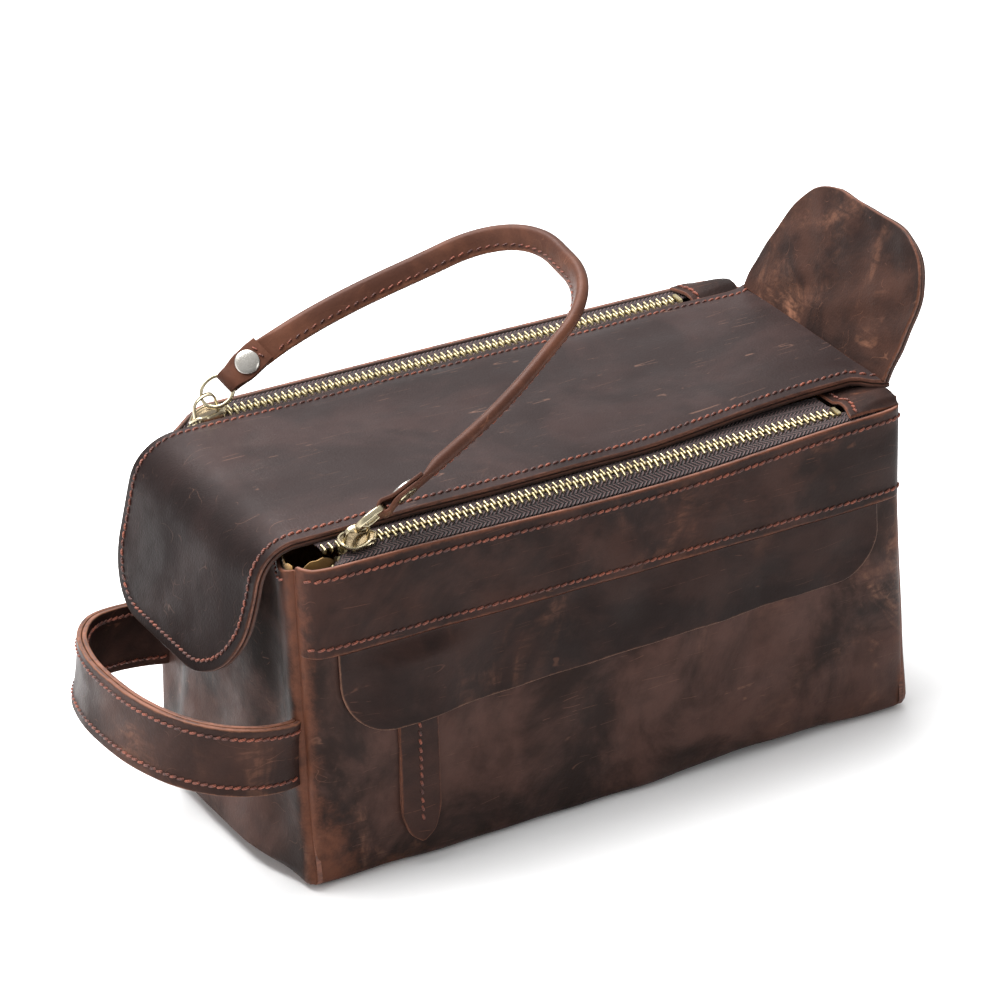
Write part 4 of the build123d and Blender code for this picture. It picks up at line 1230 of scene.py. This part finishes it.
def strap_end(side):
    """Origin at a slider's eye, then the directions along the strap, across its width, and off its face."""
    lean = STRAP_LEAN if side < 0 else math.radians(33)
    origin = EYE_POINT + side * EYE_Y * E_REAR + (np.array([-3.2, 0, 5.0]) if side > 0 else 0)
    up = np.array([math.cos(lean), 0, math.sin(lean)])
    above = np.array([-math.sin(lean), 0, math.cos(lean)])
    outwards = side * E_REAR
    across = math.cos(STRAP_ROLL) * outwards + math.sin(STRAP_ROLL) * above
    off = math.cos(STRAP_ROLL) * above - math.sin(STRAP_ROLL) * outwards
    return origin, up, across, off


def strap_line():
    """The rolled part's middle line, front slider to rear slider, with its width and face directions."""
    flat, _ = resample(filleted(ARCH, ARCH_FILLETS, 1.5), 0.9)
    steps = np.linalg.norm(np.diff(flat, axis=0), axis=1)
    left_over = np.cumsum(np.concatenate([steps, [0]])[::-1])[::-1]
    rise = np.interp(left_over, *np.array(REAR_RISE).T)
    rise = np.convolve(np.pad(rise, 14, mode="edge"), np.ones(29) / 29, mode="valid")
    line = EYE_POINT + flat[:, :1] * E_UP + flat[:, 1:] * E_REAR + rise[:, None] * E_OFF
    line -= np.outer(smooth(1 - left_over / 60), 0.9 * E_UP)
    outwards = np.cross(unit(np.gradient(line, axis=0)), E_OFF)
    width_way = math.cos(STRAP_ROLL) * outwards + math.sin(STRAP_ROLL) * E_OFF
    face_way = math.cos(STRAP_ROLL) * E_OFF - math.sin(STRAP_ROLL) * outwards
    return line, width_way, face_way


def rolled_section():
    """The strap folded along one edge: a round fold on one side, two thin cut edges on the other."""
    fold = [(2.6 + 2.15 * math.cos(t), 2.25 * math.sin(t)) for t in np.linspace(-math.pi / 2, math.pi / 2, 11)]
    edges = [(0.0, 2.1), (-2.6, 1.62), (-4.3, 1.50), (-4.7, 1.2), (-4.75, 0.6), (-4.62, 0.22), (-4.2, 0.0)]
    return np.array(fold + edges + [(w, -h) for w, h in edges[-2::-1]])


def strap_sections(line, rolled):
    """Rolled along the line, running out into one flat layer at both ends."""
    run = run_of(line)
    full = smooth((np.minimum(run, run[-1] - run) - 1.5) / 11)[:, None, None]
    thin = rounded_box(10.2, 1.35, 0.6, 6)
    thin = thin[np.argsort(np.arctan2(thin[:, 1], thin[:, 0]))]
    first = np.arctan2(rolled[0, 1] * 5, rolled[0, 0])
    start = int(np.argmin(np.abs(first - np.arctan2(thin[:, 1] * 5, thin[:, 0]))))
    thin = np.roll(thin, -start, axis=0)
    at = np.append(np.linspace(0, 1, len(thin), endpoint=False), 1)
    places = np.linspace(0, 1, len(rolled), endpoint=False)
    thin = np.stack([np.interp(places, at, np.append(thin[:, k], thin[0, k])) for k in (0, 1)], -1)
    return rolled[None] * full + (thin[None] + np.array([0, -0.75])) * (1 - full)


def add_strap_end(body, seams, origin, up, across, off):
    """The flat end, folded round the ring's far side and stitched across."""
    bend = [(11.6 - 2.15 * math.cos(t), 2.15 * math.sin(t)) for t in np.linspace(1.9, -1.9, 17)]
    profile = [(28.4, 0.80), (25, 0.78), (20.5, 0.76), (17.5, 0.76), (15.6, 0.95)]
    profile, _ = resample(profile + bend + [(p, -m) for p, m in profile[:0:-1]], 0.6)
    points = origin + profile[:, :1] * up + profile[:, 1:] * off
    sides = np.tile(across, (len(points), 1))
    width = 8.4 + 2.6 * smooth((profile[:, 0] - 11) / 8) - 0.6 * smooth((profile[:, 0] - 24) / 4)
    size = np.stack([width / 10.0, np.ones_like(width)], -1)[:, None]
    faces = np.cross(sides, unit(np.gradient(points, axis=0)))
    sweep(body, points, sides, faces, rounded_box(10.0, 1.3, 0.45)[None] * size, wear=0.12)
    ends = origin + np.array([[25.9, w] for w in (-3.4, 3.4)]) @ np.stack([up, across]) + 1.45 * off
    place, heading = resample(ends, 3.2)
    place_stitches(seams, place, np.tile(off, (len(place), 1)), heading, radius=0.36, length=2.6)


def build_ring(name, origin, up, across, off):
    angle = np.linspace(0, 2 * math.pi, 48, endpoint=False)
    loop = origin + (RING_AT + 6.35 * np.cos(angle))[:, None] * up + (5.3 * np.sin(angle))[:, None] * across
    ahead = unit(np.roll(loop, -1, 0) - np.roll(loop, 1, 0))
    flatwise = np.tile(off, (len(loop), 1))
    ring = sweep(Part(), loop, np.cross(ahead, flatwise), flatwise, rounded_box(1.25, 2.3, 0.5), closed=True)
    ring = ring.build(name + "_ring", [brass_bright], "strap", soft=False)
    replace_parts(ring, "strap_ring_" + name)


def build_rivet(name, centre, off):
    dome = [(1.5, 0.9), (4.5, 1.35), (4.65, 1.6), (4.55, 1.9), (4.1, 2.15), (3.0, 2.35), (1.5, 2.45), (0.02, 2.48)]
    foot = [(1.5, 0.9), (3.9, 1.35), (4.05, 1.6), (3.9, 1.95), (2.6, 2.15), (2.2, 2.0), (0.02, 1.95)]
    cap = Part()
    lathe(cap, dome, centre, off)
    lathe(cap, foot, centre, -off, slot=1)
    cap = cap.build(name + "_rivet", [nickel, brass_bright], "strap", soft=False)
    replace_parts(cap, "strap_rivet_" + name)


def build_strap():
    line, width_way, face_way = strap_line()
    rolled = rolled_section()
    body = sweep(Part(), line, width_way, face_way, strap_sections(line, rolled))
    body.wear = [np.tile(np.clip(-rolled[:, 0] / 4.75, 0, 1) ** 6, len(line))]
    seams = Part()
    inner = slice(9, len(line) - 9)
    for face in (1, -1):
        spine = line[inner] + width_way[inner] * -2.7 + face_way[inner] * face * 1.60
        place, heading = resample(spine, 3.5)
        nearest = np.argmin(np.linalg.norm(place[:, None] - spine[None], axis=-1), axis=1)
        place_stitches(seams, place, face * face_way[inner][nearest], heading, radius=0.36, length=2.8)
    for name, side in (("front", -1), ("rear", 1)):
        origin, up, across, off = strap_end(side)
        add_strap_end(body, seams, origin, up, across, off)
        build_ring(name, origin, up, across, off)
        build_rivet(name, origin + RIVET_AT * up, off)
    body = body.build("wrist_strap", [strap_skin, edge_raw, back_suede], "strap", sharp=60, soft=False)
    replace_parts(body, "strap_leather")
    seams.build("strap_stitches", [thread_copper], "strap", soft=False)


build_strap()


# ---------------------------------------------------------------- front pocket
POCKET_Z, POCKET_Y = 76.0, -59.9
PULL_X = -82.0


def pocket_flap(a, b):
    """The flap's outer face: a is x, b is z."""
    base = wall_half(a, b, -1)
    corner = seam_half(b) + (base - seam_half(b)) * roll(a)
    lift = 1.5 + 0.2 * smooth((91 - b) / 14) + 3.0 * bell(a, PULL_X, 17) * smooth((91 - b) / 9)
    lift = lift + ripple(a * 0.9, b, 0.3) * smooth((91 - b) / 10)
    return np.stack([a + 0 * b, -(corner + lift), b + 0.028 * a * smooth((92 - b) / 30)], -1)


def flap_span(b, radius=20.0, low=61.0):
    """How far the pocket flap's ends are drawn in at a height, round its lower corners."""
    rise = np.clip((radius - (b - low)) / radius, 0, 1)
    return radius - radius * np.sqrt(np.maximum(1 - rise ** 2, 0))


def pocket_place(points):
    """Put points drawn beside a flat zip (x, up the wall, outwards) in the front wall."""
    x, y, z = np.asarray(points, float).T
    return np.stack([x, POCKET_Y - z, POCKET_Z + y], -1)


def build_pocket():
    curve = 61.0 + 20.0 * (1 - np.sin(np.linspace(0, math.pi / 2, 18)[1:-1][::-1]))
    rows = np.concatenate([61.0 + np.array([0, 0.12, 0.3]), curve, np.linspace(82, 88, 5), [89.5, 90.3, 90.7]])
    rows = np.unique(np.round(rows, 4))
    flap = sheet(Part(), pocket_flap, lambda b: -111 + flap_span(b), lambda b: 110 - flap_span(b), rows, 90, 1.3,
                 sewn="e", rounding=0.4)
    flap = flap.build("pocket_flap_skin", [pocket_skin, edge_raw, back_suede], "pocket_flap")
    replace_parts(flap, "pocket_flap_leather")
    shape = tooth_shape(2.3, -0.7, 0.95, 0.6)
    places = np.arange(97.3, -91.0, -PITCH)
    for name, sign in (("upper", 1), ("lower", -1)):
        row = add_teeth(Part(), places - (PITCH / 2 if sign > 0 else 0),
                        lambda x, u, h: pocket_place(np.stack([x, sign * u, h], -1)), shape)
        row = row.build("pocket_teeth_" + name, [brass], "root", sharp=35)
        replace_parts(row, "pocket_zip_teeth_" + name)

        def surface(a, b):
            return pocket_place(np.stack([a, sign * b, TAPE_FACE + 0 * a], -1).reshape(-1, 3)).reshape(*a.shape, 3)

        tape = sheet(Part(), surface, lambda b: -102.0, lambda b: 104.0, np.linspace(0.7, 9.5, 10), 30, 0.45,
                     rounding=0.2)
        tape = tape.build("pocket_tape_" + name, [tape_cloth] * 3, "root")
        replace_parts(tape, "pocket_zip_tape_" + name)
    body = Part()
    half = 5.0
    outline = [(-half, 2.6), (-half + 0.8, 3.3), (0, 3.3), (half, 2.4), (half, -2.4), (0, -3.3), (-half + 0.8, -3.3),
               (-half, -2.6)]
    plate(body, outline, [(0.3, 1.25), (0, 1.3), (0, 1.8), (0.3, 2.0)])
    plate(body, outline, [(0.3, -1.25), (0, -1.3), (0, -1.8), (0.3, -2.0)])
    plate(body, rounded_box(1.6, 0.6, 0.25) + np.array([-half + 1.4, 0]), [(0, -1.3), (0, 1.3)])
    arch = filleted([(-3.1, 1.9), (-3.1, 4.2), (3.1, 4.2), (3.1, 1.9)], [0.8, 0.8], 0.3)
    add_bridge(body, arch, rounded_box(1.9, 0.6, 0.25))
    body = placed(body, lambda p: pocket_place(p + np.array([PULL_X, 0, 0])))
    body = body.build("pocket_slider_body", [brass_bright], "pocket_slider")
    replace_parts(body, "pocket_zip_slider")
    build_pouch()
    build_pull()


def build_pouch():
    corners = [(-59.2, 80.8), (-59.2, 88), (-52.7, 88), (-52.7, 20), (-59.2, 20), (-59.2, 71.2)]
    wall_line, _ = resample(filleted(corners, [1.5] * 4, 0.8), 0.9)
    run = run_of(wall_line)

    def surface(a, b):
        y, z = np.interp(b, run, wall_line[:, 0]), np.interp(b, run, wall_line[:, 1])
        return np.stack([a + 0 * b, y, z], -1)

    rows = np.linspace(0.02, run[-1] - 0.02, 120)
    bag = sheet(Part(), surface, lambda b: -104.0, lambda b: 105.0, rows, 24, CLOTH, rounding=0.1)
    for x in (-103.5, 105.0):
        sheet(bag, lambda a, b: np.stack([x + 0 * a * b, a + 0 * b, b + 0 * a], -1), lambda b: -59.2,
              lambda b: -52.7, np.linspace(20.2, 87.8, 20), 4, CLOTH, rounding=0.1)
    bag = bag.build("pocket_bag", [lining_gold] * 3, "root")
    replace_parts(bag, "pocket_pouch")


def pull_half(b):
    """Half of the tab's width at a distance down from the zip: a narrow top and an ogive tip."""
    b = np.asarray(b, float)
    shaft = 7.7 + 0.8 * smooth((b - 9) / 32)
    top = 3.0 + 4.7 * np.clip((b - 4) / 6, 0, 1)
    tip = 8.5 * np.sqrt(np.clip(1 - np.clip((b - 44) / 22.6, 0, 1) ** 1.9, 0, 1)) * np.clip((66.2 - b) / 3.4, 0, 1) ** 0.45
    return np.minimum(np.minimum(shaft, top), np.maximum(tip, 0.15))


def build_pull():
    middle = -POCKET_Y + 3.55

    def surface(a, b):
        out = middle + 1.15 + 0.5 * smooth((b - 46) / 20) + 0.25 * np.cos(a / 5)
        return np.stack([PULL_X - a + 0 * b, -out + 0 * a * b, POCKET_Z - b + 0 * a], -1)

    rows = np.concatenate([[4, 4.15, 4.5, 5.2, 6.5], np.linspace(9, 44, 20), np.linspace(46, 63, 14),
                           [64, 64.8, 65.4, 65.8, 66.0]])
    for name, depth, skin in (("outer", 0.0, TRIM), ("inner", 1.2, [trim_skin, edge_raw, trim_skin])):
        tab = sheet(Part(), surface, lambda b: -pull_half(b), pull_half, rows, 14, 1.1, depth, rounding=0.35)
        if name == "outer":
            loop = np.array([(0.4, -6.0), (1.3, -3.2), (1.35, 0.6), (1.1, 1.7), (0.2, 2.2), (-0.7, 1.8), (-1.0, 0.6),
                             (-1.0, -3.0)])
            loop, _ = resample(loop, 0.5)
            line = np.stack([np.full(len(loop), PULL_X), -middle - loop[:, 0], POCKET_Z + loop[:, 1]], -1)
            ahead = unit(np.gradient(line, axis=0))
            side = np.tile([1.0, 0, 0], (len(line), 1))
            sweep(tab, line, side, np.cross(ahead, side), rounded_box(2.6, 0.6, 0.25))
        tab = tab.build("pull_" + name, skin, "pocket_pull")
        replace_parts(tab, "pull_tab_" + name)
    run = [(0.0, b) for b in np.linspace(8, 58, 40)]
    stitch_row(Part(), surface, run, pitch=3.3, length=2.7).build("pull_stitches", [thread_copper], "pocket_pull")


build_pocket()


# ---------------------------------------------------------------- side handle
HANDLE_AXIS = (-126.2, 53.5)
HANDLE_RISE = math.radians(9)
HANDLE_HALF = 12.5
HANDLE_KNOTS = ((-119.6, -56.0), (-128, -60), (-140, -61.4), (-154, -57), (-166, -46), (-174, -29), (-177.5, -8),
                (-177, 14), (-171, 34), (-160, 47.5), (-145, 53.6), (-131, 55.2), (-119.6, 54.6))


def curve(knots, step=0.5):
    """A smooth line through knots, evenly resampled."""
    knots = np.array(knots, float)
    at = run_of(knots)
    slope = np.gradient(knots, at, axis=0)
    where = np.linspace(0, at[-1], 600)
    k = np.clip(np.searchsorted(at, where) - 1, 0, len(at) - 2)
    gap = (at[k + 1] - at[k])[:, None]
    t = ((where - at[k]) / gap[:, 0])[:, None]
    points = ((2 * t ** 3 - 3 * t ** 2 + 1) * knots[k] + (t ** 3 - 2 * t ** 2 + t) * gap * slope[k]
              + (3 * t ** 2 - 2 * t ** 3) * knots[k + 1] + (t ** 3 - t ** 2) * gap * slope[k + 1])
    return resample(points, step)[0]


handle_line = curve(HANDLE_KNOTS)
handle_run = run_of(handle_line)
handle_ahead = unit(np.gradient(handle_line, axis=0))


def handle_surface(a, b):
    """The handle's outer face: a is up its width, b along it from the front corner to the rear one."""
    x, y = (np.interp(b, handle_run, handle_line[:, k]) for k in (0, 1))
    ax, ay = (np.interp(b, handle_run, handle_ahead[:, k]) for k in (0, 1))
    out = 1.9 + 0.7 * (1 - (a / HANDLE_HALF) ** 2)
    x, y = x + ay * out, y - ax * out
    z = HANDLE_AXIS[1] + a
    turn = HANDLE_RISE * smooth((HANDLE_AXIS[0] + 6 - x) / 8)
    dx, dz = x - HANDLE_AXIS[0], z - HANDLE_AXIS[1]
    return np.stack([HANDLE_AXIS[0] + dx * np.cos(turn) + dz * np.sin(turn), y,
                     HANDLE_AXIS[1] + dz * np.cos(turn) - dx * np.sin(turn)], -1)


def build_handle():
    length = handle_run[-1]
    a = np.concatenate([EDGE[:-1], np.linspace(EDGE[-1], 2 * HANDLE_HALF - EDGE[-1], 8), 2 * HANDLE_HALF - EDGE[-2::-1]])
    rows = np.linspace(0.1, length - 0.1, 150)
    for name, depth in (("outer", 0.0), ("inner", 1.95)):
        skin = [handle_skin, edge_raw, handle_skin]
        layer = sheet(Part(), handle_surface, lambda b: -HANDLE_HALF, lambda b: HANDLE_HALF, rows, 9, 1.85, depth, sewn="fe")
        layer = layer.build("side_handle_" + name, skin)
        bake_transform(layer)
        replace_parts(layer, "handle_" + name)
    seams = Part()
    for height in (-HANDLE_HALF + 3.4, HANDLE_HALF - 3.4):
        run = [(height, b) for b in np.linspace(4.5, length - 4.5, 300)]
        stitch_row(seams, handle_surface, run)

        def inside(u, v):
            point, normal = frames(handle_surface, u, -v)
            return point - normal * 3.8

        stitch_row(seams, inside, [(u, -v) for u, v in run])
    seams = seams.build("handle_stitches", [thread_copper])
    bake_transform(seams)


build_handle()


# ---------------------------------------------------------------- lining
def build_lining():
    inset, top, ends = 2.7, 121.0, 121.6

    def half_at(x):
        return lambda z, sign: np.where(sign < 0, 51.6, wall_half(x, z, 1) - inset)

    def surface(a, b):
        x = a
        full_y, full_z = trough(b, half_at(x), 2.5, top)
        seam_y, seam_z = trough(b, lambda z, sign: np.where(sign < 0, 51.0, seam_half(z) - 1.5), SEAM_LOW + 1.5, top)
        e = roll(x * SEAM_X / ends)
        y, z = seam_y + (full_y - seam_y) * e, seam_z + (full_z - seam_z) * e
        curl = smooth((z - 110) / 11) * bell(x, -112.5, 6.5) * (y < 0)
        return np.stack([x, y - 3.2 * curl, z + (5.0 + 0.8 * np.sin(1.5 * x)) * curl], -1)

    length = trough_length(top)
    rows = np.linspace(0, length, 120)
    columns = end_run() * ends / SEAM_X * 0.9995
    cloth_part = Part()
    a, b = np.meshgrid(columns, rows)
    point, normal = frames(surface, a, b)
    flat = np.stack([a, b, 0 * a], -1).reshape(-1, 3)
    add_shell(cloth_part, point.reshape(-1, 3), (point + normal * 0.6).reshape(-1, 3), grid_faces(*a.shape),
              grid_rim(*a.shape), np.zeros(a.size), flat, slots=(0, 0, 0))
    for end in (-1, 1):
        outer_face = end_panel(end, inset=2.3)
        scallop = 1.0 if end < 0 else 0.0

        def side(a, b):
            p = outer_face(a, np.minimum(b, PANEL_TOP))
            p[..., 2] = b
            p[..., 2] += scallop * (0.9 * np.abs(np.sin(math.pi * a / 4.4)) + 2.0) * smooth((b - 112) / 9)
            return p

        sheet(cloth_part, side, lambda b: 0.8 - end_half(b), lambda b: end_half(b) - 0.8,
              np.linspace(SEAM_LOW + 1.6, top + 2.2, 60), 70, 0.5, rounding=0.1)
    piece = cloth_part.build("lining_bag", [lining_gold] * 3, "root")
    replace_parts(piece, "lining")


build_lining()
